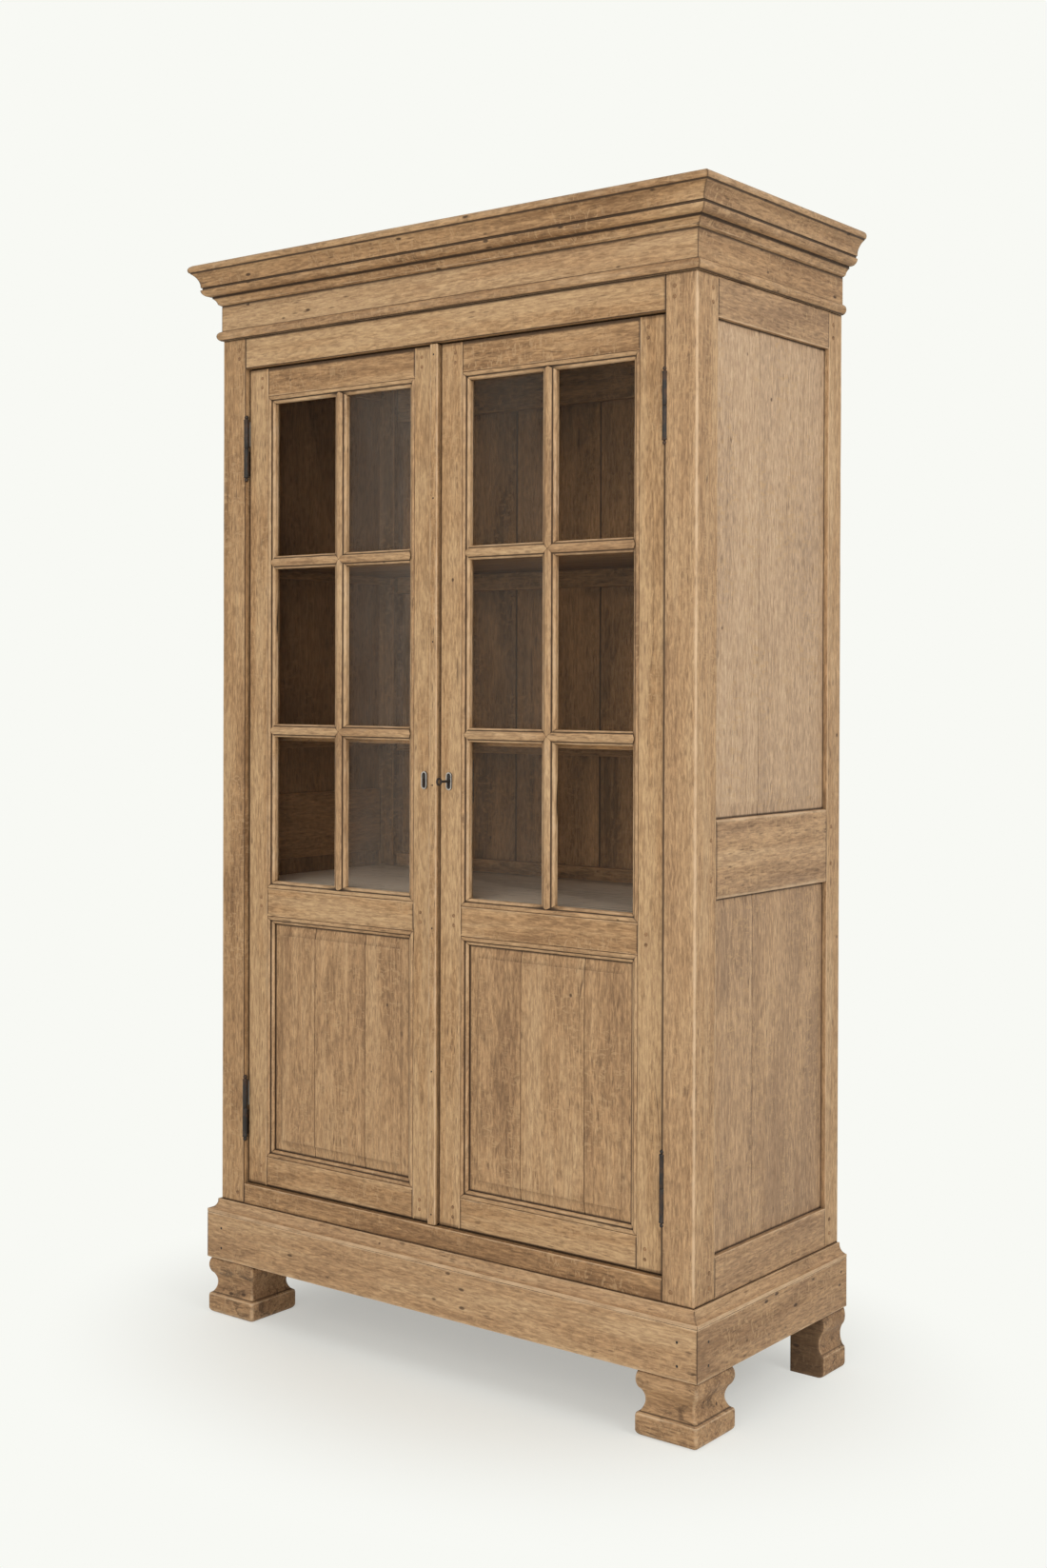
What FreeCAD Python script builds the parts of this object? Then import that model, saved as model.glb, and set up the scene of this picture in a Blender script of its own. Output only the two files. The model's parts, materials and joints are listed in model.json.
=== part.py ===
import FreeCAD, Part
import os
from FreeCAD import Vector

# A free-standing oak display cabinet with two glazed doors, made as separate pieces.
# Millimetres, +Z up, front towards -Y. The origin is on the floor, under the middle of the whole cabinet.

# Carcass frame
carcass_width = 1133.0
carcass_depth = 501.0
post_height = 1737.0
front_post_width = 64.0
front_post_depth = 66.0
back_post_width = 60.0
back_post_depth = 48.0
post_edge_radius = 4.0
front_rail_thickness = 30.0
front_top_rail_height = 61.0
front_bottom_rail_height = 40.0
side_rail_thickness = 26.0
side_top_rail_height = 69.0
side_middle_rail_low = 680.0
side_middle_rail_high = 816.0
side_bottom_rail_height = 73.0
rail_edge_radius = 5.0
carcass_tenon_length = 36.0
carcass_tenon_thickness = 10.0
carcass_tenon_shoulder = 13.0
back_tenon_shoulder = 6.5

# Side panels, each of two boards
side_panel_thickness = 10.0
side_panel_setback = 9.0
side_field_rise = 2.0
side_field_margin = 6.0
side_field_bevel = 18.0
upper_panel_joint = 216.0
lower_panel_joint = 199.0

# Base
foot_height = 112.0
front_foot_size = 126.0
back_foot_width = 72.0
back_foot_depth = 87.0
foot_reach = 19.0
back_foot_wave = 0.4
plinth_height = 118.0
plinth_thickness = 24.0
plinth_reach = 20.0
base_moulding_height = 26.0
base_moulding_top_reach = 5.0
base_moulding_bed = 45.0

# Head
torus_height = 20.0
torus_reach = 10.0
frieze_height = 71.0
frieze_thickness = 22.0
frieze_reach = 2.0
frieze_back_thickness = 16.0
cornice_height = 80.0
cornice_reach = 51.3
dust_board_thickness = 14.0
dust_board_drop = 6.0

# Back
back_rail_thickness = 22.0
back_board_thickness = 12.0
back_board_setback = 4.0
back_board_lap = 12.0
back_board_width = 216.0
back_board_joint = 27.0
back_board_least = 30.0
back_top_rail_height = 117.0
back_bottom_rail_height = 60.0
back_deck_rail_drop = 46.0
back_deck_rail_height = 94.0
upper_shelf_rail_height = 36.0
middle_shelf_rail_height = 30.0

# Shelves: heights are of their undersides above the foot of the posts
board_thickness = 22.0
upper_shelf_height = 1280.0
middle_shelf_height = 930.0
deck_height = 626.0
floor_height = 18.0
shelf_setback = 72.0
deck_setback = 42.0
bearer_width = 22.0
bearer_height = 18.0
bearer_inset = 28.0
bearer_housing = 8.0
shelf_side_clearance = 1.0

# Doors
door_thickness = 26.0
door_setback = 10.0
door_side_gap = 2.5
door_top_gap = 3.0
door_bottom_gap = 2.5
door_meeting_gap = 3.0
left_hinge_stile_width = 52.0
left_meeting_stile_width = 62.0
right_hinge_stile_width = 56.0
right_meeting_stile_width = 50.0
door_top_rail_height = 56.0
lock_rail_drop = 44.0
lock_rail_height = 55.0
door_bottom_rail_top = 100.0
door_tenon_length = 34.0
door_tenon_thickness = 9.0
door_tenon_shoulder = 12.0

# Glazing
moulding_width = 15.0
bead_width = 8.0
upper_bar_rise = 6.0
lower_bar_rise = 22.0
upright_bar_width = 30.0
cross_bar_width = 26.0
bar_web_width = 8.0
glass_setback = 24.0
glass_thickness = 3.0
glass_edge_clearance = 1.0
glass_bead_width = 10.0
glass_bead_back = 33.0

# Door panels, each of three boards
panel_groove_front = 19.0
panel_groove_width = 8.0
panel_tongue = 8.0
panel_groove_depth = 9.0
panel_field_front = 15.0
panel_bevel_width = 20.0
left_panel_joints = (-322.0, -190.0)
right_panel_joints = (187.0, 328.0)

# Meeting strip on the left door
strip_width = 19.0
strip_thickness = 8.0
strip_overrun = 1.5

# Pegs
peg_radius = 4.0
door_peg_radius = 3.5
peg_clearance = 0.05
peg_stand_out = 0.8
carcass_peg_depth = 24.0
door_peg_depth = 21.0
front_peg_inset = 18.0
front_top_peg_spread = 9.0
side_front_peg_inset = 17.0
side_back_peg_inset = 16.0
side_top_peg_spread = 12.0
side_middle_peg_spread = 34.0
side_bottom_peg_spread = 13.0
door_peg_inset = 17.0
door_peg_spread = 9.0

# Hinges
hinge_axis_inset = 1.3
hinge_axis_setback = 2.0
barrel_radius = 5.5
barrel_length = 118.0
barrel_notch_clearance = 0.4
hinge_tip_radius = 4.5
hinge_tip_offset = 3.0
hinge_pin_radius = 3.0
hinge_pin_length = 50.0
hinge_pin_clearance = 0.05
knuckle_gap = 0.4
leaf_thickness = 2.5
leaf_reach = 34.0
leaf_end_margin = 5.0
upper_hinge_height = 1516.0
lower_hinge_height = 192.0

# Lock, key and escutcheons
keyhole_height = 866.0
right_keyhole_x = 24.0
left_keyhole_x = -36.0
escutcheon_width = 13.0
escutcheon_length = 33.0
escutcheon_thickness = 2.0
escutcheon_rim_width = 2.0
escutcheon_rim_height = 1.0
keyhole_radius = 3.2
keyhole_slot_width = 3.6
keyhole_slot_drop = 11.0
key_shank_radius = 2.5
key_bow_radius = 6.0
key_bow_wire_radius = 1.8
key_bow_stand_off = 30.0
key_bit_thickness = 2.4
key_bit_drop = 9.0
key_bit_length = 7.0
key_bit_end_gap = 1.0
key_running_clearance = 0.05
lock_case_side_margin = 2.5
lock_case_width = 42.0
lock_case_height = 80.0
lock_case_depth = 18.0
lock_case_wall = 1.5
bolt_thickness = 10.0
bolt_height = 14.0
bolt_length = 34.0
bolt_rise = 14.0
bolt_front_gap = 4.0
bolt_clearance = 0.1
keeper_width = 12.0
keeper_side_margin = 1.5
keeper_wall = 3.0
keeper_clearance = 0.5

# Planes that follow from the sizes
half_width = carcass_width / 2
front = cornice_reach - (carcass_depth + cornice_reach) / 2
back = front + carcass_depth
base = foot_height + plinth_height
post_top = base + post_height
frieze_top = post_top + frieze_height
top = frieze_top + cornice_height
front_post_inner = half_width - front_post_width
back_post_inner = half_width - back_post_width
front_post_back = front + front_post_depth
back_post_front = back - back_post_depth
back_rail_back = back - back_board_setback - back_board_thickness
back_rail_front = back_rail_back - back_rail_thickness
door_front = front + door_setback
door_back = door_front + door_thickness
door_low = base + front_bottom_rail_height + door_bottom_gap
door_high = post_top - front_top_rail_height - door_top_gap
door_outer = front_post_inner - door_side_gap
door_inner = door_meeting_gap / 2
lock_rail_low = base + deck_height - lock_rail_drop
upper_bar_z = base + upper_shelf_height + upper_bar_rise
lower_bar_z = base + middle_shelf_height + lower_bar_rise
hinge_x = front_post_inner - hinge_axis_inset
hinge_y = front + hinge_axis_setback
keyhole_z = base + keyhole_height
beyond = 400.0


def box(x0, x1, y0, y1, z0, z1):
    return Part.makeBox(x1 - x0, y1 - y0, z1 - z0, Vector(x0, y0, z0))


def mirrored(shape):
    return shape.mirror(Vector(0, 0, 0), Vector(1, 0, 0))


def outline_face(place, start, steps):
    """A flat face from a start point and steps: a point for a line, or a pair of points for an arc."""
    edges = []
    here = start
    for step in steps + [start]:
        if isinstance(step[0], tuple):
            through, end = step
            edges.append(Part.Arc(place(*here), place(*through), place(*end)).toShape())
        else:
            end = step
            edges.append(Part.LineSegment(place(*here), place(*end)).toShape())
        here = end
    return Part.Face(Part.Wire(edges))


def prism(points, direction):
    return Part.Face(Part.makePolygon(points + [points[0]])).extrude(direction)


def save(name, *shapes):
    solids = []
    for shape in shapes:
        solids.extend(shape.Solids)
    whole = solids[0] if len(solids) == 1 else Part.makeCompound(solids)
    whole.exportStep("parts/" + name + ".step")


def front_run(start, steps):
    """A moulding along the front, mitred at both corners. Profile points are (reach, height)."""
    face = outline_face(lambda reach, z: Vector(-half_width - beyond, front - reach, z), start, steps)
    run = face.extrude(Vector(carcass_width + 2 * beyond, 0, 0))
    inset = carcass_depth / 2
    mitre = prism(
        [
            Vector(-half_width - beyond, front - beyond, 0),
            Vector(half_width + beyond, front - beyond, 0),
            Vector(half_width - inset, front + inset, 0),
            Vector(-half_width + inset, front + inset, 0),
        ],
        Vector(0, 0, top),
    )
    return run.common(mitre)


def right_run(start, steps):
    """The same moulding along the right side, mitred in front and cut square at the back."""
    face = outline_face(lambda reach, z: Vector(half_width + reach, front - beyond, z), start, steps)
    run = face.extrude(Vector(0, beyond + carcass_depth, 0))
    inset = carcass_depth / 2
    mitre = prism(
        [
            Vector(half_width + beyond, front - beyond, 0),
            Vector(half_width + beyond, back, 0),
            Vector(half_width - inset, back, 0),
            Vector(half_width - inset, front + inset, 0),
        ],
        Vector(0, 0, top),
    )
    return run.common(mitre)


def three_runs(start, steps):
    right = right_run(start, steps)
    return front_run(start, steps), mirrored(right), right


# Feet: rounded above and below a hollow waist
def foot_flank(half_size, sign, wave):
    """One side of a foot from top to bottom. Sign is +1 on the outside; wave scales the shaping."""
    def at(inset, z):
        return (sign * (half_size - wave * inset), z)
    return at(5, foot_height), [
        (at(0, 98), at(4, 82)),
        at(7, 79),
        (at(13, 60), at(6, 41)),
        at(1, 38),
        at(0, 34),
        at(0, 10),
        (at(3, 3), at(10, 0)),
    ]


def reversed_steps(start, steps):
    """The same outline walked from its end back to its start."""
    points = [start]
    for step in steps:
        points.append(step[1] if isinstance(step[0], tuple) else step)
    back_steps = []
    for index in range(len(steps) - 1, -1, -1):
        step = steps[index]
        back_steps.append((step[0], points[index]) if isinstance(step[0], tuple) else points[index])
    return points[-1], back_steps


def shaped_both_sides(half_size, place, direction):
    start, steps = foot_flank(half_size, 1, 1)
    other_start, other_steps = reversed_steps(*foot_flank(half_size, -1, 1))
    return outline_face(place, start, steps + [other_start] + other_steps).extrude(direction)


def front_foot():
    half = front_foot_size / 2
    x = half_width + foot_reach - half
    y = front - foot_reach + half
    across = Vector(front_foot_size, 0, 0)
    inwards = Vector(0, front_foot_size, 0)
    along_y = shaped_both_sides(half, lambda a, z: Vector(x + a, y - half, z), inwards)
    along_x = shaped_both_sides(half, lambda a, z: Vector(x - half, y + a, z), across)
    return along_y.common(along_x)


def back_foot():
    outside = half_width + foot_reach
    start, steps = foot_flank(back_foot_width, 1, back_foot_wave)
    steps = steps + [(0, 0), (0, foot_height)]
    face = outline_face(
        lambda a, z: Vector(outside - back_foot_width + a, back - back_foot_depth, z), start, steps
    )
    return face.extrude(Vector(0, back_foot_depth, 0))


# Plinth boards, with the front one lapping the ends of the side ones
plinth_top = base - base_moulding_height
plinth_outer_x = half_width + plinth_reach
plinth_inner_x = plinth_outer_x - plinth_thickness
plinth_outer_y = front - plinth_reach
plinth_inner_y = plinth_outer_y + plinth_thickness
plinth_front = box(
    -plinth_outer_x, plinth_outer_x, plinth_outer_y, plinth_inner_y, foot_height, plinth_top
)
plinth_right = box(plinth_inner_x, plinth_outer_x, plinth_inner_y, back, foot_height, plinth_top)
plinth_back = box(
    -plinth_inner_x, plinth_inner_x, back - plinth_thickness, back, foot_height, plinth_top
)

# Base moulding that the posts stand on: a hollow between two small fillets
base_moulding = three_runs(
    (-base_moulding_bed, base),
    [
        (base_moulding_top_reach, base),
        (base_moulding_top_reach, base - 3),
        ((9, base - 14), (18, base - 19)),
        (plinth_reach, base - 19),
        (plinth_reach, plinth_top),
        (-base_moulding_bed, plinth_top),
    ],
)

# Head: a half-round, a flat frieze and the cornice
torus = three_runs(
    (frieze_reach, post_top),
    [((torus_reach, post_top + torus_height / 2), (frieze_reach, post_top + torus_height))],
)
frieze_inner = frieze_reach - frieze_thickness
frieze = three_runs(
    (frieze_inner, post_top),
    [(frieze_reach, post_top), (frieze_reach, frieze_top), (frieze_inner, frieze_top)],
)
dust_board_high = top - dust_board_drop
dust_board_low = dust_board_high - dust_board_thickness
head_half = half_width + frieze_inner
frieze_back = box(-head_half, head_half, back - frieze_back_thickness, back, post_top, dust_board_low)
dust_board = box(-head_half, head_half, front - frieze_inner, back, dust_board_low, dust_board_high)
cornice = three_runs(
    (frieze_inner, frieze_top),
    [
        (3, frieze_top),
        (8, frieze_top + 3),
        ((11, frieze_top + 10), (17, frieze_top + 15)),
        (17.5, frieze_top + 18),
        (20, frieze_top + 18),
        ((30, frieze_top + 23), (33, frieze_top + 31)),
        (32.5, frieze_top + 37),
        ((36, frieze_top + 51), (47, frieze_top + 63)),
        (49, frieze_top + 63.5),
        ((cornice_reach, frieze_top + 70), (48.5, frieze_top + 77)),
        (44, top),
        (frieze_inner, top),
    ],
)


# Frame joints
def rail_along_x(x0, x1, y0, y1, z0, z1, tenon_length, tenon_thickness, shoulder):
    """A rail between two uprights, with a tenon on each end. Returns the rail and its two tenons."""
    low_y = (y0 + y1 - tenon_thickness) / 2
    high_y = low_y + tenon_thickness
    tenons = [
        box(x0 - tenon_length, x0, low_y, high_y, z0 + shoulder, z1 - shoulder),
        box(x1, x1 + tenon_length, low_y, high_y, z0 + shoulder, z1 - shoulder),
    ]
    rail = box(x0, x1, y0, y1, z0, z1).multiFuse(tenons)
    return rail.removeSplitter(), tenons


def rail_along_y(x0, x1, y0, y1, z0, z1, rounded):
    """A side rail between a front and a back post. The edges of its outer face are rounded where asked."""
    body = box(x0, x1, y0, y1, z0, z1)
    if rounded:
        outer_edges = [edge for edge in body.Edges if edge.BoundBox.XMin > x1 - 1]
        body = body.makeFillet(rail_edge_radius, outer_edges)
    low_x = (x0 + x1 - carcass_tenon_thickness) / 2
    high_x = low_x + carcass_tenon_thickness
    low_z = z0 + carcass_tenon_shoulder
    high_z = z1 - carcass_tenon_shoulder
    tenons = [
        box(low_x, high_x, y0 - carcass_tenon_length, y0, low_z, high_z),
        box(low_x, high_x, y1, y1 + carcass_tenon_length, low_z, high_z),
    ]
    return body.multiFuse(tenons).removeSplitter(), tenons


front_top_rail, front_top_tenons = rail_along_x(
    -front_post_inner, front_post_inner, front, front + front_rail_thickness,
    post_top - front_top_rail_height, post_top,
    carcass_tenon_length, carcass_tenon_thickness, carcass_tenon_shoulder,
)
front_bottom_rail, front_bottom_tenons = rail_along_x(
    -front_post_inner, front_post_inner, front, front + front_rail_thickness,
    base, base + front_bottom_rail_height,
    carcass_tenon_length, carcass_tenon_thickness, carcass_tenon_shoulder,
)

# Side frames, built on the right and mirrored for the left
side_inner = half_width - side_rail_thickness
side_levels = {
    "top": (post_top - side_top_rail_height, post_top),
    "middle": (base + side_middle_rail_low, base + side_middle_rail_high),
    "bottom": (base, base + side_bottom_rail_height),
}
side_rails = {}
side_tenons = []
for level, (low, high) in side_levels.items():
    side_rails[level], tenons = rail_along_y(
        side_inner, half_width, front_post_back, back_post_front, low, high, level == "middle"
    )
    side_tenons.extend(tenons)

panel_outer = half_width - side_panel_setback
panel_inner = panel_outer - side_panel_thickness


def raised_field(outer, inner):
    """The bevelled middle of a panel, between its outer and inner corners."""
    foot = Part.makePolygon(outer + [outer[0]])
    face = Part.makePolygon(inner + [inner[0]])
    return Part.makeLoft([foot, face], True, True)


def side_panel(low, high, joint):
    """Two boards in the grooves of the posts and rails, and the space that the grooves take."""
    y0 = front_post_back - panel_tongue
    y1 = back_post_front + panel_tongue

    def corners(x, inset):
        near = front_post_back + inset
        far = back_post_front - inset
        return [
            Vector(x, near, low + inset), Vector(x, far, low + inset),
            Vector(x, far, high - inset), Vector(x, near, high - inset),
        ]

    field = raised_field(
        corners(panel_outer, side_field_margin),
        corners(panel_outer + side_field_rise, side_field_margin + side_field_bevel),
    )
    whole = box(panel_inner, panel_outer, y0, y1, low - panel_tongue, high + panel_tongue).fuse(field)
    whole = whole.removeSplitter()
    boards = [
        whole.common(box(0, half_width, y0, front + joint, 0, top)),
        whole.common(box(0, half_width, front + joint, y1, 0, top)),
    ]
    groove = box(
        panel_inner, panel_outer,
        front_post_back - panel_groove_depth, back_post_front + panel_groove_depth,
        low - panel_groove_depth, high + panel_groove_depth,
    )
    return boards, groove


middle_low, middle_high = side_levels["middle"]
upper_boards, upper_groove = side_panel(middle_high, side_levels["top"][0], upper_panel_joint)
lower_boards, lower_groove = side_panel(side_levels["bottom"][1], middle_low, lower_panel_joint)
side_grooves = [upper_groove, lower_groove]

# Shelf bearers, let into the posts at both ends
bearer_outer = half_width - bearer_inset
bearer_inner = bearer_outer - bearer_width
shelf_heights = (upper_shelf_height, middle_shelf_height, deck_height, floor_height)
right_bearers = []
for height in shelf_heights:
    right_bearers.append(box(
        bearer_inner, bearer_outer,
        front_post_back - bearer_housing, back_post_front + bearer_housing,
        base + height - bearer_height, base + height,
    ))


def shelf(height, front_edge, back_edge):
    """A board between the sides, notched round any post that it reaches."""
    low = base + height
    high = low + board_thickness
    reach = side_inner - shelf_side_clearance
    board = box(-reach, reach, front_edge, back_edge, low, high)
    notches = []
    for sign in (-1, 1):
        front_x = sorted((sign * (front_post_inner - shelf_side_clearance), sign * half_width))
        back_x = sorted((sign * (back_post_inner - shelf_side_clearance), sign * half_width))
        notches.append(box(
            front_x[0], front_x[1], front, front_post_back + shelf_side_clearance, low, high
        ))
        notches.append(box(back_x[0], back_x[1], back_post_front - shelf_side_clearance, back, low, high))
    return board.cut(notches)


upper_shelf = shelf(upper_shelf_height, front + shelf_setback, back_rail_back)
middle_shelf = shelf(middle_shelf_height, front + shelf_setback, back_rail_back)
deck = shelf(deck_height, front + deck_setback, back_rail_front)
floor = shelf(floor_height, front + front_rail_thickness, back_rail_front)

# Framed back: rails between the back posts, and upright boards behind them, the outer ones cut to fit
back_deck_rail_low = base + deck_height - back_deck_rail_drop
back_levels = [
    (post_top - back_top_rail_height, post_top),
    (base + upper_shelf_height - upper_shelf_rail_height, base + upper_shelf_height),
    (base + middle_shelf_height - middle_shelf_rail_height, base + middle_shelf_height),
    (back_deck_rail_low, back_deck_rail_low + back_deck_rail_height),
    (base, base + back_bottom_rail_height),
]
back_rails = []
back_tenons = []
for low, high in back_levels:
    rail, tenons = rail_along_x(
        -back_post_inner, back_post_inner, back_rail_front, back_rail_back, low, high,
        carcass_tenon_length, carcass_tenon_thickness, back_tenon_shoulder,
    )
    back_rails.append(rail)
    back_tenons.extend(tenons)

boards_half = back_post_inner + back_board_lap
board_reach = boards_half - back_board_least
board_edges = [-boards_half]
edge = back_board_joint - back_board_width * int((back_board_joint + board_reach) / back_board_width)
while edge < board_reach:
    board_edges.append(edge)
    edge += back_board_width
board_edges.append(boards_half)
back_boards = []
for left_edge, right_edge in zip(board_edges, board_edges[1:]):
    back_boards.append(box(
        left_edge, right_edge,
        back_rail_back, back_rail_back + back_board_thickness, base, post_top,
    ))
back_rebate = box(back_post_inner, boards_half, back_rail_back, back, base, post_top)


# Hinges, built for the left door and mirrored for the right
def hinge_halves(height):
    """The half on the post, with the pin, and the half on the door, with the bore."""
    middle = base + height
    axis = Vector(-hinge_x, hinge_y, 0)
    up = Vector(0, 0, 1)
    low = middle - barrel_length / 2
    high = middle + barrel_length / 2
    half_length = (barrel_length - knuckle_gap) / 2
    leaf_length = half_length - 2 * leaf_end_margin
    post_leaf = box(
        -front_post_inner - leaf_thickness, -front_post_inner,
        hinge_y, hinge_y + leaf_reach, low + leaf_end_margin, low + leaf_end_margin + leaf_length,
    )
    door_leaf = box(
        -door_outer, -door_outer + leaf_thickness,
        hinge_y, hinge_y + leaf_reach, high - leaf_end_margin - leaf_length, high - leaf_end_margin,
    )
    post_half = Part.makeCylinder(barrel_radius, half_length, axis + up * low, up).multiFuse([
        Part.makeCylinder(hinge_pin_radius, half_length + hinge_pin_length, axis + up * low, up),
        Part.makeSphere(hinge_tip_radius, axis + up * (low - hinge_tip_offset)),
        post_leaf,
    ])
    door_knuckle_low = axis + up * (high - half_length)
    bore = Part.makeCylinder(
        hinge_pin_radius + hinge_pin_clearance, hinge_pin_length + 2 * knuckle_gap, door_knuckle_low, up
    )
    door_half = Part.makeCylinder(barrel_radius, half_length, door_knuckle_low, up).multiFuse([
        Part.makeSphere(hinge_tip_radius, axis + up * (high + hinge_tip_offset)),
        door_leaf,
    ]).cut(bore)
    tip_room = hinge_tip_offset + hinge_tip_radius + barrel_notch_clearance
    notch_radius = barrel_radius + barrel_notch_clearance
    notch = Part.makeCylinder(notch_radius, barrel_length + 2 * tip_room, axis + up * (low - tip_room), up)
    return post_half.removeSplitter(), door_half.removeSplitter(), post_leaf, door_leaf, notch


hinges = [hinge_halves(upper_hinge_height), hinge_halves(lower_hinge_height)]
post_hinge_halves = [hinge[0] for hinge in hinges]
door_hinge_halves = [hinge[1] for hinge in hinges]
post_hinge_cuts = [hinge[2] for hinge in hinges] + [hinge[4] for hinge in hinges]
door_hinge_cuts = [hinge[3] for hinge in hinges]


# Pegs through the frame joints
def pegs_and_holes(places, direction, radius, depth):
    """Pegs driven in along a direction, each resting on the flat end of its own hole."""
    pegs = []
    holes = []
    for place in places:
        pegs.append(Part.makeCylinder(
            radius, depth + peg_stand_out, place - direction * peg_stand_out, direction
        ))
        holes.append(Part.makeCylinder(radius + peg_clearance, depth, place, direction))
    return pegs, holes


into_front = Vector(0, 1, 0)
front_peg_places = []
for x in (-front_post_inner - front_peg_inset, front_post_inner + front_peg_inset):
    front_peg_places.append(Vector(x, front, post_top - front_top_rail_height / 2 - front_top_peg_spread))
    front_peg_places.append(Vector(x, front, post_top - front_top_rail_height / 2 + front_top_peg_spread))
    front_peg_places.append(Vector(x, front, base + front_bottom_rail_height / 2))
front_pegs, front_peg_holes = pegs_and_holes(front_peg_places, into_front, peg_radius, carcass_peg_depth)

into_right_side = Vector(-1, 0, 0)
side_peg_spread = {
    "top": side_top_peg_spread, "middle": side_middle_peg_spread, "bottom": side_bottom_peg_spread
}
side_peg_places = []
for level, (low, high) in side_levels.items():
    for y in (front_post_back - side_front_peg_inset, back_post_front + side_back_peg_inset):
        for offset in (-side_peg_spread[level], side_peg_spread[level]):
            side_peg_places.append(Vector(half_width, y, (low + high) / 2 + offset))
side_pegs, side_peg_holes = pegs_and_holes(side_peg_places, into_right_side, peg_radius, carcass_peg_depth)


# Posts
def rounded_post(x0, x1, y0, y1):
    """A post with its outer front edge softened."""
    post = box(x0, x1, y0, y1, base, post_top)
    edges = [
        edge for edge in post.Edges
        if edge.Length > post_height * 0.9
        and abs(edge.CenterOfMass.x) > half_width - 1 and edge.CenterOfMass.y < y0 + 1
    ]
    return post.makeFillet(post_edge_radius, edges)


def both_sides(shapes):
    return list(shapes) + [mirrored(shape) for shape in shapes]


carcass_cuts = side_tenons + side_grooves + right_bearers + side_peg_holes
front_frame_cuts = front_top_tenons + front_bottom_tenons + front_peg_holes
front_post_right = rounded_post(front_post_inner, half_width, front, front_post_back).cut(
    carcass_cuts + front_frame_cuts + [mirrored(cut) for cut in post_hinge_cuts]
)
front_post_left = rounded_post(-half_width, -front_post_inner, front, front_post_back).cut(
    [mirrored(cut) for cut in carcass_cuts] + front_frame_cuts + post_hinge_cuts
)
back_post_right = box(back_post_inner, half_width, back_post_front, back, base, post_top).cut(
    carcass_cuts + back_tenons + [back_rebate]
)
back_post_left = mirrored(back_post_right)
for level in side_rails:
    side_rails[level] = side_rails[level].cut(side_grooves + side_peg_holes)
front_top_rail = front_top_rail.cut(front_peg_holes)
front_bottom_rail = front_bottom_rail.cut(front_peg_holes)


# Door mouldings and glazing
def mitred_frame(x0, x1, z0, z1, width, start, steps):
    """Four mitred strips inside an opening. Profile points are (distance in from the edge, depth)."""
    sides = [
        (lambda t, y: Vector(x0, y, z0 + t), Vector(x1 - x0, 0, 0),
         [(x0, z0), (x1, z0), (x1 - width, z0 + width), (x0 + width, z0 + width)]),
        (lambda t, y: Vector(x0, y, z1 - t), Vector(x1 - x0, 0, 0),
         [(x0, z1), (x1, z1), (x1 - width, z1 - width), (x0 + width, z1 - width)]),
        (lambda t, y: Vector(x0 + t, y, z0), Vector(0, 0, z1 - z0),
         [(x0, z0), (x0, z1), (x0 + width, z1 - width), (x0 + width, z0 + width)]),
        (lambda t, y: Vector(x1 - t, y, z0), Vector(0, 0, z1 - z0),
         [(x1, z0), (x1, z1), (x1 - width, z1 - width), (x1 - width, z0 + width)]),
    ]
    strips = []
    for place, direction, corners in sides:
        run = outline_face(place, start, steps).extrude(direction)
        mitre = prism([Vector(x, front - beyond, z) for x, z in corners], Vector(0, 2 * beyond, 0))
        strips.append(run.common(mitre))
    return strips


def moulding_profile(back_depth):
    """A rounded bead along the frame, then a small fillet falling towards the glass or panel."""
    return (0, front + back_depth), [
        (0, front + 11),
        ((4, front + 8.5), (bead_width, front + 11.5)),
        (bead_width, front + 13),
        (13.5, front + 14.5),
        (moulding_width, front + 17),
        (moulding_width, front + back_depth),
    ]


def bar_profile(place, half):
    """A glazing bar's moulded front: a half-round between two fillets."""
    return outline_face(place, (-half, front + glass_setback), [
        (-half, front + 17),
        (1.5 - half, front + 14.5),
        (-bead_width, front + 13),
        (-bead_width, front + 11.5),
        ((0, front + 8.5), (bead_width, front + 11.5)),
        (bead_width, front + 13),
        (half - 1.5, front + 14.5),
        (half, front + 17),
        (half, front + glass_setback),
    ])


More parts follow.
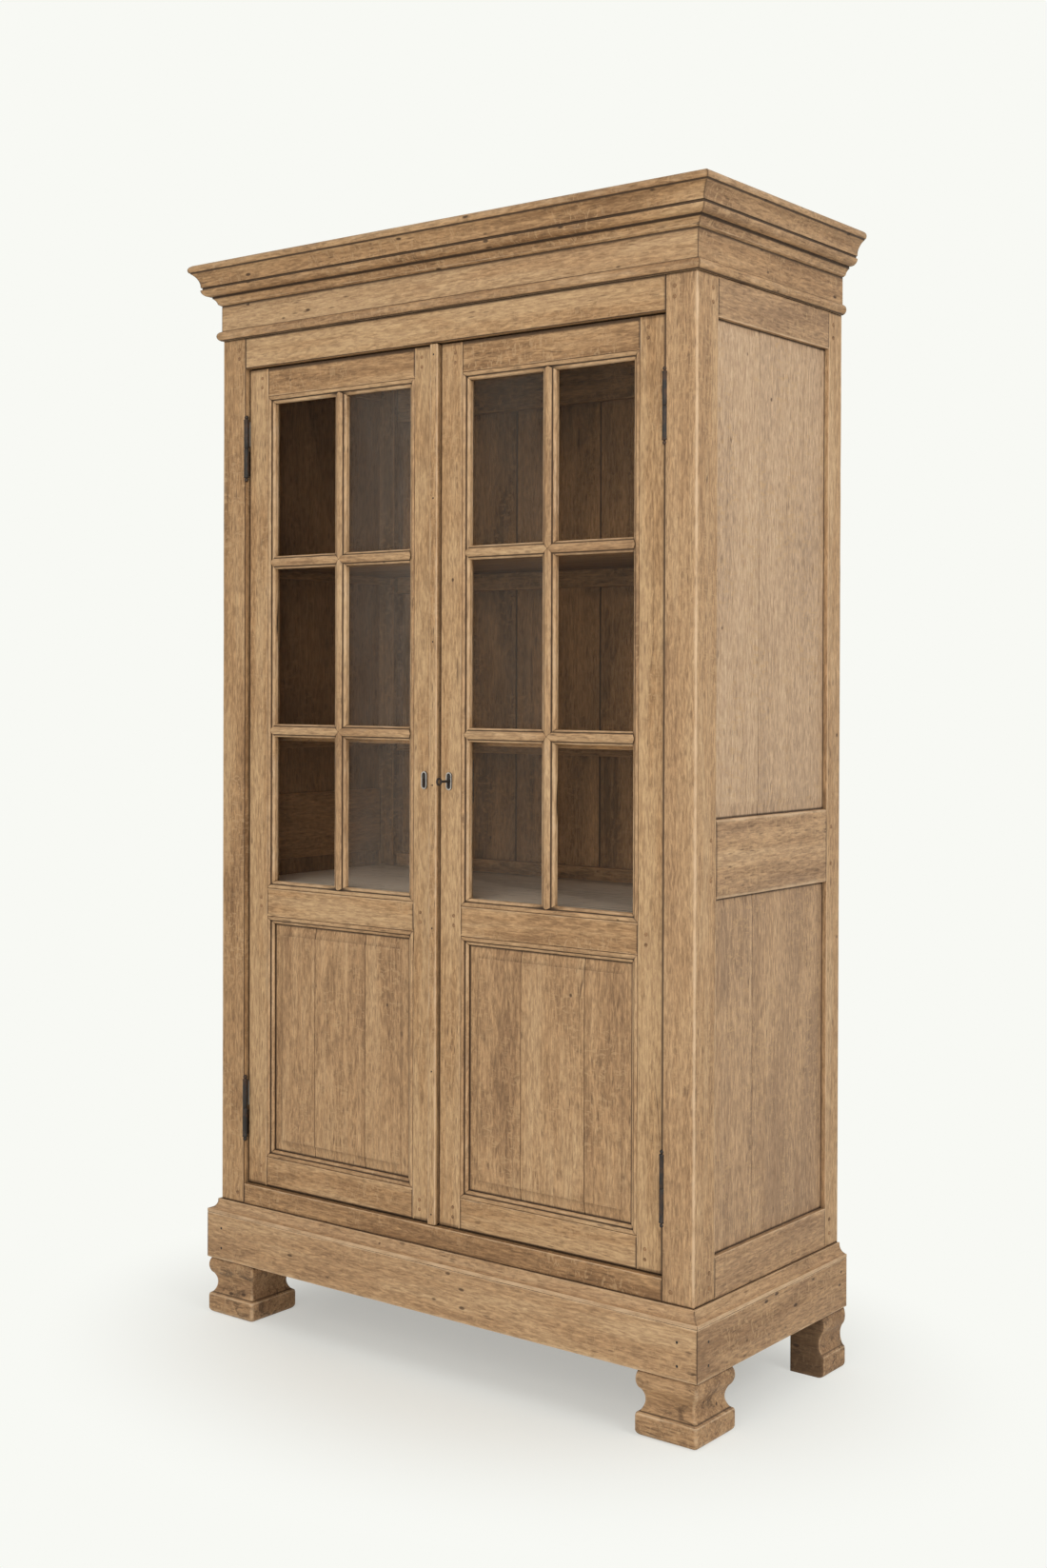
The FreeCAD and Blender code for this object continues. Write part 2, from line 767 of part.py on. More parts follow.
def glazing(x0, x1, z0, z1):
    """The bars, panes, mouldings and glass beads of one door's upper opening."""
    middle_x = (x0 + x1) / 2
    web = bar_web_width / 2
    web_front = front + glass_setback
    web_back = front + glass_bead_back
    bars = []
    webs = []
    levels = (lower_bar_z, upper_bar_z)
    for level in levels:
        face = bar_profile(lambda t, y: Vector(x0 + moulding_width, y, level + t), cross_bar_width / 2)
        web_box = box(x0, x1, web_front, web_back, level - web, level + web)
        bars.append(face.extrude(Vector(x1 - x0 - 2 * moulding_width, 0, 0)).fuse(web_box).removeSplitter())
        webs.append(web_box)
    face = bar_profile(lambda t, y: Vector(middle_x + t, y, z0 + moulding_width), upright_bar_width / 2)
    web_box = box(middle_x - web, middle_x + web, web_front, web_back, z0, z1)
    upright = face.extrude(Vector(0, 0, z1 - z0 - 2 * moulding_width)).fuse(web_box).removeSplitter()
    webs.append(web_box)
    bars.append(upright.cut(bars))
    gap = glass_edge_clearance
    columns = [(x0 + gap, middle_x - web - gap), (middle_x + web + gap, x1 - gap)]
    rows = [
        (z0 + gap, levels[0] - web - gap),
        (levels[0] + web + gap, levels[1] - web - gap),
        (levels[1] + web + gap, z1 - gap),
    ]
    panes = []
    for left_edge, right_edge in columns:
        for low, high in rows:
            panes.append(box(left_edge, right_edge, web_front, web_front + glass_thickness, low, high))
    bead_front = front + glass_setback + glass_thickness
    beads = mitred_frame(
        x0, x1, z0, z1, glass_bead_width, (0, bead_front),
        [(glass_bead_width, bead_front), (glass_bead_width, web_back), (0, web_back)],
    )
    beads = [bead.cut(webs) for bead in beads]
    start, steps = moulding_profile(glass_setback)
    mouldings = mitred_frame(x0, x1, z0, z1, moulding_width, start, steps)
    return bars, panes, mouldings + beads


def door_panel(x0, x1, z0, z1, joints):
    """A raised panel of three boards, its moulding, and the groove that it sits in."""
    groove_front = front + panel_groove_front
    groove_back = groove_front + panel_groove_width
    tongue = panel_tongue
    plate = box(x0 - tongue, x1 + tongue, groove_front, groove_back, z0 - tongue, z1 + tongue)

    def corners(y, inset):
        return [
            Vector(x0 + inset, y, z0 + inset), Vector(x1 - inset, y, z0 + inset),
            Vector(x1 - inset, y, z1 - inset), Vector(x0 + inset, y, z1 - inset),
        ]

    field = raised_field(
        corners(groove_front, moulding_width),
        corners(front + panel_field_front, moulding_width + panel_bevel_width),
    )
    whole = plate.fuse(field).removeSplitter()
    edges = (x0 - tongue, *joints, x1 + tongue)
    boards = []
    for left_edge, right_edge in zip(edges, edges[1:]):
        boards.append(whole.common(box(left_edge, right_edge, front - beyond, front + beyond, 0, top)))
    depth = panel_groove_depth
    groove = box(x0 - depth, x1 + depth, groove_front, groove_back, z0 - depth, z1 + depth)
    start, steps = moulding_profile(panel_groove_front)
    return boards, groove, mitred_frame(x0, x1, z0, z1, moulding_width, start, steps)


def door(x0, x1, left_stile, right_stile, joints):
    """One framed door between two edges: its frame, glazing, panel and pegs."""
    inner_left = x0 + left_stile
    inner_right = x1 - right_stile
    rail_levels = {
        "top_rail": (door_high - door_top_rail_height, door_high),
        "lock_rail": (lock_rail_low, lock_rail_low + lock_rail_height),
        "bottom_rail": (door_low, base + door_bottom_rail_top),
    }
    pieces = {}
    tenons = []
    peg_places = []
    for name, (low, high) in rail_levels.items():
        pieces[name], rail_tenons = rail_along_x(
            inner_left, inner_right, door_front, door_back, low, high,
            door_tenon_length, door_tenon_thickness, door_tenon_shoulder,
        )
        tenons.extend(rail_tenons)
        for x in (inner_left - door_peg_inset, inner_right + door_peg_inset):
            for offset in (-door_peg_spread, door_peg_spread):
                peg_places.append(Vector(x, door_front, (low + high) / 2 + offset))
    pegs, holes = pegs_and_holes(peg_places, into_front, door_peg_radius, door_peg_depth)
    glass_low = rail_levels["lock_rail"][1]
    glass_high = rail_levels["top_rail"][0]
    bars, panes, mouldings = glazing(inner_left, inner_right, glass_low, glass_high)
    panel_low = rail_levels["bottom_rail"][1]
    panel_high = rail_levels["lock_rail"][0]
    boards, groove, panel_mouldings = door_panel(inner_left, inner_right, panel_low, panel_high, joints)
    pieces["glazing_bars"] = bars
    pieces["glass"] = panes
    pieces["panel"] = boards
    pieces["mouldings"] = mouldings + panel_mouldings
    for name in rail_levels:
        pieces[name] = pieces[name].cut([groove] + holes)
    cuts = tenons + holes + [groove]
    pieces["left_stile"] = box(x0, inner_left, door_front, door_back, door_low, door_high).cut(cuts)
    pieces["right_stile"] = box(inner_right, x1, door_front, door_back, door_low, door_high).cut(cuts)
    pieces["pegs"] = pegs
    return pieces


left = door(-door_outer, -door_inner, left_hinge_stile_width, left_meeting_stile_width, left_panel_joints)
right = door(door_inner, door_outer, right_meeting_stile_width, right_hinge_stile_width, right_panel_joints)
left["left_stile"] = left["left_stile"].cut(door_hinge_cuts)
right["right_stile"] = right["right_stile"].cut([mirrored(cut) for cut in door_hinge_cuts])

# Meeting strip, flush with the left door's edge so that either door opens by itself
meeting_strip = box(
    -door_inner - strip_width, -door_inner, door_front - strip_thickness, door_front,
    door_low - strip_overrun, door_high + strip_overrun,
)


# Lock, key and escutcheons
def slot_prism(x, half, length, y0, y1):
    """A flat piece with straight sides and round ends, standing upright on a door's face."""
    straight = length / 2 - half
    middle = box(x - half, x + half, y0, y1, keyhole_z - straight, keyhole_z + straight)
    ends = []
    for z in (keyhole_z - straight, keyhole_z + straight):
        ends.append(Part.makeCylinder(half, y1 - y0, Vector(x, y0, z), into_front))
    return middle.multiFuse(ends).removeSplitter()


def keyhole(x, y0, y1):
    shank_hole = Part.makeCylinder(keyhole_radius, y1 - y0, Vector(x, y0, keyhole_z), into_front)
    half_slot = keyhole_slot_width / 2
    bit_hole = box(x - half_slot, x + half_slot, y0, y1, keyhole_z - keyhole_slot_drop, keyhole_z)
    return shank_hole.fuse(bit_hole).removeSplitter()


def escutcheon(x):
    """An oval plate with a raised rim and a keyhole."""
    plate_front = door_front - escutcheon_thickness
    rim_front = plate_front - escutcheon_rim_height
    half = escutcheon_width / 2
    plate = slot_prism(x, half, escutcheon_length, rim_front, door_front)
    hollow = slot_prism(
        x, half - escutcheon_rim_width, escutcheon_length - 2 * escutcheon_rim_width, rim_front, plate_front
    )
    return plate.cut([hollow, keyhole(x, rim_front, door_front)])


left_escutcheon = escutcheon(left_keyhole_x)
right_escutcheon = escutcheon(right_keyhole_x)
right["left_stile"] = right["left_stile"].cut(keyhole(right_keyhole_x, door_front, door_back))

case_left = door_inner + lock_case_side_margin
case_right = case_left + lock_case_width
case_back = door_back + lock_case_depth
case_low = keyhole_z - lock_case_height / 2
case_high = keyhole_z + lock_case_height / 2
bolt_front = door_back + bolt_front_gap
bolt_low = keyhole_z + bolt_rise
bolt_back = bolt_front + bolt_thickness
bolt_high = bolt_low + bolt_height
bolt = box(case_left, case_left + bolt_length, bolt_front, bolt_back, bolt_low, bolt_high)
bolt_slot = box(
    case_left, case_left + lock_case_wall,
    bolt_front - bolt_clearance, bolt_back + bolt_clearance,
    bolt_low - bolt_clearance, bolt_high + bolt_clearance,
)
key_bearing = Part.makeCylinder(
    key_shank_radius + key_running_clearance, lock_case_wall,
    Vector(right_keyhole_x, case_back - lock_case_wall, keyhole_z), into_front,
)
case_hollow = box(
    case_left + lock_case_wall, case_right - lock_case_wall, door_back, case_back - lock_case_wall,
    case_low + lock_case_wall, case_high - lock_case_wall,
)
lock_case = box(case_left, case_right, door_back, case_back, case_low, case_high).cut(
    [case_hollow, bolt_slot, key_bearing]
)

bow_y = door_front - key_bow_stand_off
shank_start = bow_y + key_bow_radius
bit_back = case_back - lock_case_wall - key_bit_end_gap
key = Part.makeCylinder(
    key_shank_radius, case_back - shank_start, Vector(right_keyhole_x, shank_start, keyhole_z), into_front
).multiFuse([
    Part.makeTorus(
        key_bow_radius, key_bow_wire_radius, Vector(right_keyhole_x, bow_y, keyhole_z), Vector(1, 0, 0)
    ),
    box(
        right_keyhole_x - key_bit_thickness / 2, right_keyhole_x + key_bit_thickness / 2,
        bit_back - key_bit_length, bit_back, keyhole_z - key_bit_drop, keyhole_z,
    ),
]).removeSplitter()

# Keeper on the back of the left door, which takes the thrown bolt
keeper_right = -door_inner - keeper_side_margin
keeper_left = keeper_right - keeper_width
keeper_pocket = box(
    keeper_left + keeper_wall, keeper_right,
    bolt_front - keeper_clearance, bolt_back + keeper_clearance,
    bolt_low - keeper_clearance, bolt_high + keeper_clearance,
)
keeper = box(
    keeper_left, keeper_right,
    door_back, bolt_back + keeper_wall,
    bolt_low - keeper_wall, bolt_high + keeper_wall,
).cut(keeper_pocket)

# Write each piece
os.makedirs("parts", exist_ok=True)
right_foot = front_foot()
right_back_foot = back_foot()
save("front_feet", *both_sides([right_foot]))
save("back_feet", *both_sides([right_back_foot]))
save("plinth_front", plinth_front)
save("plinth_sides", *both_sides([plinth_right]))
save("plinth_back", plinth_back)
save("base_moulding", *base_moulding)
save("front_post_left", front_post_left)
save("front_post_right", front_post_right)
save("back_post_left", back_post_left)
save("back_post_right", back_post_right)
save("front_top_rail", front_top_rail)
save("front_bottom_rail", front_bottom_rail)
save("right_side_rails", *side_rails.values())
save("left_side_rails", *[mirrored(rail) for rail in side_rails.values()])
save("right_side_panels", *upper_boards, *lower_boards)
save("left_side_panels", *[mirrored(board) for board in upper_boards + lower_boards])
save("back_rails", *back_rails)
save("back_boards", *back_boards)
save("upper_shelf", upper_shelf)
save("middle_shelf", middle_shelf)
save("deck", deck)
save("floor", floor)
save("shelf_bearers", *both_sides(right_bearers))
save("frieze", *frieze, frieze_back)
save("torus_moulding", *torus)
save("cornice_front", cornice[0])
save("cornice_sides", cornice[1], cornice[2])
save("dust_board", dust_board)
save("post_hinge_halves", *both_sides(post_hinge_halves))
save("carcass_pegs", *front_pegs, *both_sides(side_pegs))
save("left_hinge_stile", left["left_stile"])
save("left_meeting_stile", left["right_stile"])
save("right_meeting_stile", right["left_stile"])
save("right_hinge_stile", right["right_stile"])
for side, pieces in (("left", left), ("right", right)):
    for name in ("top_rail", "lock_rail", "bottom_rail"):
        save(side + "_door_" + name, pieces[name])
    for name in ("glazing_bars", "glass", "mouldings", "panel", "pegs"):
        save(side + "_door_" + name, *pieces[name])
save("left_door_hinge_halves", *door_hinge_halves)
save("right_door_hinge_halves", *[mirrored(half) for half in door_hinge_halves])
save("left_escutcheon", left_escutcheon)
save("right_escutcheon", right_escutcheon)
save("meeting_strip", meeting_strip)
save("keeper", keeper)
save("lock_case", lock_case)
save("lock_bolt", bolt)
save("key", key)
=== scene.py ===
import json
import math
import random

import bmesh
import bpy
from bpy.props import FloatProperty, FloatVectorProperty, PointerProperty
from bpy.types import Operator, Panel, PropertyGroup
from mathutils import Matrix, Vector, noise
from mathutils.bvhtree import BVHTree

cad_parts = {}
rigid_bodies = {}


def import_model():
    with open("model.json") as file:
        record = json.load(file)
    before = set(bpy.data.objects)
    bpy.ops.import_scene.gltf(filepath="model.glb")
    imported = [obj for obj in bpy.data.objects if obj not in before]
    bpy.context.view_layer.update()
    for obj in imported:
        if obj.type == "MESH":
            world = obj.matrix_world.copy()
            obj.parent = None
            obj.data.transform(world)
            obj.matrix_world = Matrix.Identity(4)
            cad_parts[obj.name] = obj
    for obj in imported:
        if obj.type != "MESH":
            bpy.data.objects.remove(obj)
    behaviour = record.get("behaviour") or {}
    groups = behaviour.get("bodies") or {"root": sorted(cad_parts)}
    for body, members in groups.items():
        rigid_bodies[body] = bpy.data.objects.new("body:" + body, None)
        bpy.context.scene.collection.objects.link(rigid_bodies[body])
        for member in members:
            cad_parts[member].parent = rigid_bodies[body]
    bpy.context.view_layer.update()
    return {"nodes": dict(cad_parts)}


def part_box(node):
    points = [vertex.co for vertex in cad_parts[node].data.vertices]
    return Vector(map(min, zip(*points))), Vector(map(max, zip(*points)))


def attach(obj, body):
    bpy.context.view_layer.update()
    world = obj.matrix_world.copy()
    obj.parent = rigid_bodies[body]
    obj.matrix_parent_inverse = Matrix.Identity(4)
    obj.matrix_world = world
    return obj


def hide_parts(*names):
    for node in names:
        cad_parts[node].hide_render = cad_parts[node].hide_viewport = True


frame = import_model()

bl_info = {
    "name": "Oak display cabinet",
    "version": (1, 0, 0),
    "blender": (4, 5, 0),
    "location": "View3D > Sidebar > Cabinet",
    "description": "Dresses a glazed oak cabinet with worn timber, old glass and iron",
    "category": "Object",
}

MM = 0.001
X = Vector((1, 0, 0))
Y = Vector((0, 1, 0))
Z = Vector((0, 0, 1))
ORIGIN = Vector((0, 0, 0))
# A board's directions for each grain: along, across and outward
AXES = {"X": (X, Y, Z), "Y": (Y, Z, X), "Z": (Z, X, Y)}


# Planes read from the frame
def corners_of(node):
    """The low and the high corner of a node's box."""
    low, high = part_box(node)
    return Vector(low), Vector(high)


post_low, post_high = corners_of("front_post_right")
back_post_low, back_post_high = corners_of("back_post_right")
half_width = post_high.x
front = post_low.y
back = back_post_high.y
base = post_low.z
post_top = post_high.z
front_post_inner = post_low.x
front_post_back = post_high.y
back_post_front = back_post_low.y
door_front = corners_of("left_hinge_stile")[0].y
foot_height = corners_of("front_feet")[1].z
plinth_top = corners_of("plinth_front")[1].z
plinth_reach = corners_of("plinth_front")[1].x - half_width
frieze_top = corners_of("cornice_front")[0].z

# Sizes that the boxes of the nodes don't give
side_inner = half_width - 26 * MM
inside_limit = half_width - 18.5 * MM
side_panel_face = half_width - 9 * MM
plinth_thickness = 24 * MM
moulding_bed = 45 * MM
bearer_width = 22 * MM
bearer_height = 18 * MM
panel_tongue = 8 * MM
fitting_gap = 1 * MM
inside_boards = ("upper_shelf", "middle_shelf", "deck", "floor")
side_levels = {
    "top": (post_top - 69 * MM, post_top),
    "middle": (base + 680 * MM, base + 816 * MM),
    "bottom": (base, base + 73 * MM),
}
bar_levels = (base + 952 * MM, base + 1286 * MM)
hinge_heights = (base + 192 * MM, base + 1516 * MM)
hinge_axis_x = front_post_inner - 1.3 * MM
hinge_axis_y = front + 2 * MM

# Sizes within a door in millimetres. The depths are counted from the cabinet's front.
panel_depth = 19
pane_depth = 24
pane_back = 27
retainer_back = 33
retainer_width = 10
bar_web = 4

# How worn paleness, and the shade painted into hollows and beside gaps, spread from an edge
curve_turn = math.radians(20)
inner_turn = -0.4
full_wear_turn = 1.2
soft_wear = 0.75
plain_support = 3.5 * MM
soft_support = 7 * MM
tight_edge = 0.4 * MM
tight_hollow_shade = 2.6 * MM
moulding_edge = 0.7 * MM
joint_wear = -0.8
sawn_wear = 0.1
bar_wear = -0.4


class CabinetSizes(PropertyGroup):
    """Sizes of the dressing that a user may change."""

    arris: FloatProperty(
        name="Eased edge", description="Width of the eased edge along a board",
        default=1.1 * MM, min=0.2 * MM, max=4 * MM, unit="LENGTH", precision=5,
    )
    waviness: FloatProperty(
        name="Unevenness", description="Depth of the hand-planed unevenness of a face",
        default=0.35 * MM, min=0, max=2 * MM, unit="LENGTH", precision=5,
    )
    nick: FloatProperty(
        name="Nicks", description="Depth of the nicks along a worn edge",
        default=1.3 * MM, min=0, max=4 * MM, unit="LENGTH", precision=5,
    )
    post_edge: FloatProperty(
        name="Post edge", description="Rounding of the front posts' outer edge",
        default=4 * MM, min=1 * MM, max=10 * MM, unit="LENGTH", precision=5,
    )
    moulding_width: FloatProperty(
        name="Door moulding", description="Width of the moulding round the glass and the panels",
        default=15 * MM, min=10 * MM, max=25 * MM, unit="LENGTH", precision=5,
    )
    bead_width: FloatProperty(
        name="Bead", description="Width of the round bead in the door moulding",
        default=8 * MM, min=4 * MM, max=10 * MM, unit="LENGTH", precision=5,
    )
    upright_bar: FloatProperty(
        name="Upright bar", description="Width of the upright glazing bar",
        default=30 * MM, min=18 * MM, max=40 * MM, unit="LENGTH", precision=5,
    )
    cross_bar: FloatProperty(
        name="Cross bar", description="Width of the level glazing bars",
        default=26 * MM, min=18 * MM, max=40 * MM, unit="LENGTH", precision=5,
    )
    ripple: FloatProperty(
        name="Glass ripple", description="Height of the ripple in the old panes",
        default=0.12 * MM, min=0, max=0.5 * MM, unit="LENGTH", precision=5,
    )
    # How far from a point other timber still adds painted corner shade
    corner_shade_reach: FloatProperty(
        name="Dirt reach", description="How near timber has to be for dirt to gather between",
        default=18 * MM, min=2 * MM, max=40 * MM, unit="LENGTH", precision=5,
    )
    nail_head: FloatProperty(
        name="Nail head", description="Radius of a nail's head",
        default=2.4 * MM, min=1 * MM, max=5 * MM, unit="LENGTH", precision=5,
    )


class CabinetColours(PropertyGroup):
    """Colours of the finishes that a user may change."""

    oak_pale: FloatVectorProperty(
        name="Pale oak", description="Lightest tone of the weathered oak",
        subtype="COLOR", size=3, min=0, max=1, default=(0.546, 0.351, 0.185),
    )
    oak_tan: FloatVectorProperty(
        name="Tan oak", description="Middle tone of the weathered oak",
        subtype="COLOR", size=3, min=0, max=1, default=(0.437, 0.257, 0.123),
    )
    oak_dark: FloatVectorProperty(
        name="Dark oak", description="Darkest streaks of the weathered oak",
        subtype="COLOR", size=3, min=0, max=1, default=(0.255, 0.138, 0.062),
    )
    oak_worn: FloatVectorProperty(
        name="Worn edge", description="Colour where the oak is rubbed bare",
        subtype="COLOR", size=3, min=0, max=1, default=(0.74, 0.53, 0.335),
    )
    oak_grey: FloatVectorProperty(
        name="Bleached oak", description="Tone that light-struck boards turn to",
        subtype="COLOR", size=3, min=0, max=1, default=(0.60, 0.435, 0.300),
    )
    # Also the colour of the shade painted into hollows, gaps and corners
    dirt_and_shade: FloatVectorProperty(
        name="Dirt", description="Colour of old dirt in joints, pits and cracks",
        subtype="COLOR", size=3, min=0, max=1, default=(0.045, 0.024, 0.012),
    )
    inside: FloatVectorProperty(
        name="Inside", description="Tone of the bare boards inside",
        subtype="COLOR", size=3, min=0, max=1, default=(0.375, 0.211, 0.096),
    )
    limed: FloatVectorProperty(
        name="Limed deck", description="Tone of the pale deck behind the lowest panes",
        subtype="COLOR", size=3, min=0, max=1, default=(0.98, 0.87, 0.75),
    )
    peg: FloatVectorProperty(
        name="Pegs", description="Tone of the pegs' end grain",
        subtype="COLOR", size=3, min=0, max=1, default=(0.30, 0.170, 0.082),
    )
    iron: FloatVectorProperty(
        name="Iron", description="Colour of the dark ironwork",
        subtype="COLOR", size=3, min=0, max=1, default=(0.022, 0.018, 0.015),
    )
    iron_bright: FloatVectorProperty(
        name="Rubbed iron", description="Colour where the ironwork is rubbed bright",
        subtype="COLOR", size=3, min=0, max=1, default=(0.55, 0.52, 0.47),
    )
    film: FloatVectorProperty(
        name="Film on glass", description="Colour of the dusty film on the old panes",
        subtype="COLOR", size=3, min=0, max=1, default=(0.91, 0.80, 0.69),
    )
    backdrop: FloatVectorProperty(
        name="Backdrop", description="Colour of the pale floor and background",
        subtype="COLOR", size=3, min=0, max=1, default=(0.939, 0.947, 0.905),
    )


# Outlines of the timber
def arc_points(start, through, end):
    """Points along the arc through three points, without its start."""
    (ax, ay), (bx, by), (cx, cy) = start, through, end
    d = 2 * (ax * (by - cy) + bx * (cy - ay) + cx * (ay - by))
    a2, b2, c2 = ax * ax + ay * ay, bx * bx + by * by, cx * cx + cy * cy
    ux = (a2 * (by - cy) + b2 * (cy - ay) + c2 * (ay - by)) / d
    uy = (a2 * (cx - bx) + b2 * (ax - cx) + c2 * (bx - ax)) / d
    radius = math.hypot(ax - ux, ay - uy)
    first = math.atan2(ay - uy, ax - ux)
    middle = math.atan2(by - uy, bx - ux)
    last = math.atan2(cy - uy, cx - ux)
    sweep = (last - first) % math.tau
    if (middle - first) % math.tau > sweep:
        sweep -= math.tau
    count = max(5, min(14, round(abs(sweep) * radius / (1.6 * MM))))
    points = []
    for index in range(1, count + 1):
        angle = first + sweep * index / count
        points.append((ux + radius * math.cos(angle), uy + radius * math.sin(angle)))
    return points


def outline(start, steps):
    """A closed outline in metres from millimetres: a point for a line, a pair of points for an arc."""
    points = [(start[0] * MM, start[1] * MM)]
    for step in steps:
        if isinstance(step[0], tuple):
            through, end = [(p[0] * MM, p[1] * MM) for p in step]
            points.extend(arc_points(points[-1], through, end))
        else:
            points.append((step[0] * MM, step[1] * MM))
    if math.dist(points[0], points[-1]) < 1e-7:
        points.pop()
    return points


def signed_area(points):
    """The area of an outline, positive where it runs anticlockwise."""
    return sum(p[0] * q[1] - q[0] * p[1] for p, q in zip(points, points[1:] + points[:1])) / 2


def eased_ring(points, arris, soft=None, gap_shade=None, span=30 * MM, hollow_shade=4 * MM):
    """An outline with eased corners, as (a, b, worn paleness or painted shade). It is +1 on a worn outer
    edge, -1 in a hollow painted in shade.

    Soft gives the larger radius of some corners; the gap reach gives how far shade is painted at corners
    beside a gap, and the hollow reach how far it is painted in every inner corner.
    """
    facing = 1 if signed_area(points) > 0 else -1
    soft = soft or {}
    gap_shade = gap_shade or {}
    ring = []
    hollows = []
    for index, here in enumerate(points):
        here = Vector(here)
        before = Vector(points[index - 1]) - here
        after = Vector(points[(index + 1) % len(points)]) - here
        turn = -facing * (-before).angle_signed(after)
        # Along a curve: paler where it bulges, as worn, and painted shade where it is hollow
        if abs(turn) < curve_turn:
            curve = turn / (before.length + after.length) * 2
            ring.append((here.x, here.y, max(-1, min(1, curve * 3 * MM))))
            continue
        radius = min(soft.get(index, arris), 0.45 * before.length, 0.45 * after.length)
        # At a corner: worn paler if outer, painted shade if inner; inner corners and corners beside a gap
        # spread that shade out
        wear_and_shade = max(-1, min(1, turn / full_wear_turn)) * (soft_wear if index in soft else 1)
        reach = gap_shade.get(index, hollow_shade if turn < inner_turn else 0)
        if reach:
            hollows.append((here, reach))
        plain_reach = soft_support if index in soft else plain_support
        supports = (reach, 0.5 * reach) if reach else (plain_reach,)
        back_way = before.normalized()
        on_way = after.normalized()
        for support in supports:
            if before.length > 2 * (radius + support):
                place = here + back_way * (radius + support)
                ring.append((place.x, place.y, 0))
        steps = 4 if radius > 2 * MM else 2
        for step in range(steps + 1):
            t = step / steps
            place = here + back_way * radius * (1 - t) ** 2 + on_way * radius * t ** 2
            ring.append((place.x, place.y, wear_and_shade * (0.6 if step in (0, steps) else 1)))
        for support in reversed(supports):
            if after.length > 2 * (radius + support):
                place = here + on_way * (radius + support)
                ring.append((place.x, place.y, 0))
    full = []
    for p, q in zip(ring, ring[1:] + ring[:1]):
        count = int(math.dist(p[:2], q[:2]) / span)
        for step in range(count + 1):
            t = step / (count + 1)
            a, b, wear_and_shade = (first + (last - first) * t for first, last in zip(p, q))
            # Painted shade spreads out from each hollow
            for hollow, reach in hollows:
                wear_and_shade = min(wear_and_shade, max(-1, 2 * (hollow - Vector((a, b))).length / reach - 2))
            full.append((a, b, wear_and_shade))
    return full if facing > 0 else full[::-1]


def ring_normals(ring):
    """Outward directions of a ring's points."""
    normals = []
    for index in range(len(ring)):
        before = ring[index - 1]
        after = ring[(index + 1) % len(ring)]
        way = Vector((after[1] - before[1], before[0] - after[0]))
        normals.append(way.normalized() if way.length > 1e-9 else Vector((0, 0)))
    return normals


def stronger(first, second):
    """The worn paleness or painted shade that shows where two kinds meet."""
    return first if abs(first) >= abs(second) else second


def skin(first, rows, width):
    """Faces that join rings of points in order, from a first point on. The last two close the ends."""
    faces = []
    for row in range(rows - 1):
        low = first + row * width
        for column in range(width):
            beside = (column + 1) % width
            faces.append((low + column, low + beside, low + width + beside, low + width + column))
    last = first + (rows - 1) * width
    faces.append(tuple(range(first + width - 1, first - 1, -1)))
    faces.append(tuple(range(last, last + width)))
    return faces


def grid_rim(rows, width):
    """The points round the edge of a grid, in order."""
    rim = list(range(width))
    rim += [row * width + width - 1 for row in range(1, rows)]
    rim += [(rows - 1) * width + column for column in range(width - 2, -1, -1)]
    rim += [row * width for row in range(rows - 2, 0, -1)]
    return rim


def closed_mesh(name, points, faces, sharp_degrees, flat_faces=()):
    """A smooth mesh whose faces look outward, sharp at turns over an angle."""
    mesh = bpy.data.meshes.new(name)
    mesh.from_pydata([tuple(point) for point in points], [], faces)
    shape = bmesh.new()
    shape.from_mesh(mesh)
    bmesh.ops.recalc_face_normals(shape, faces=shape.faces)
    shape.to_mesh(mesh)
    shape.free()
    mesh.shade_smooth()
    for index in flat_faces:
        mesh.polygons[index].use_smooth = False
    mesh.set_sharp_from_angle(angle=math.radians(sharp_degrees))
    return mesh


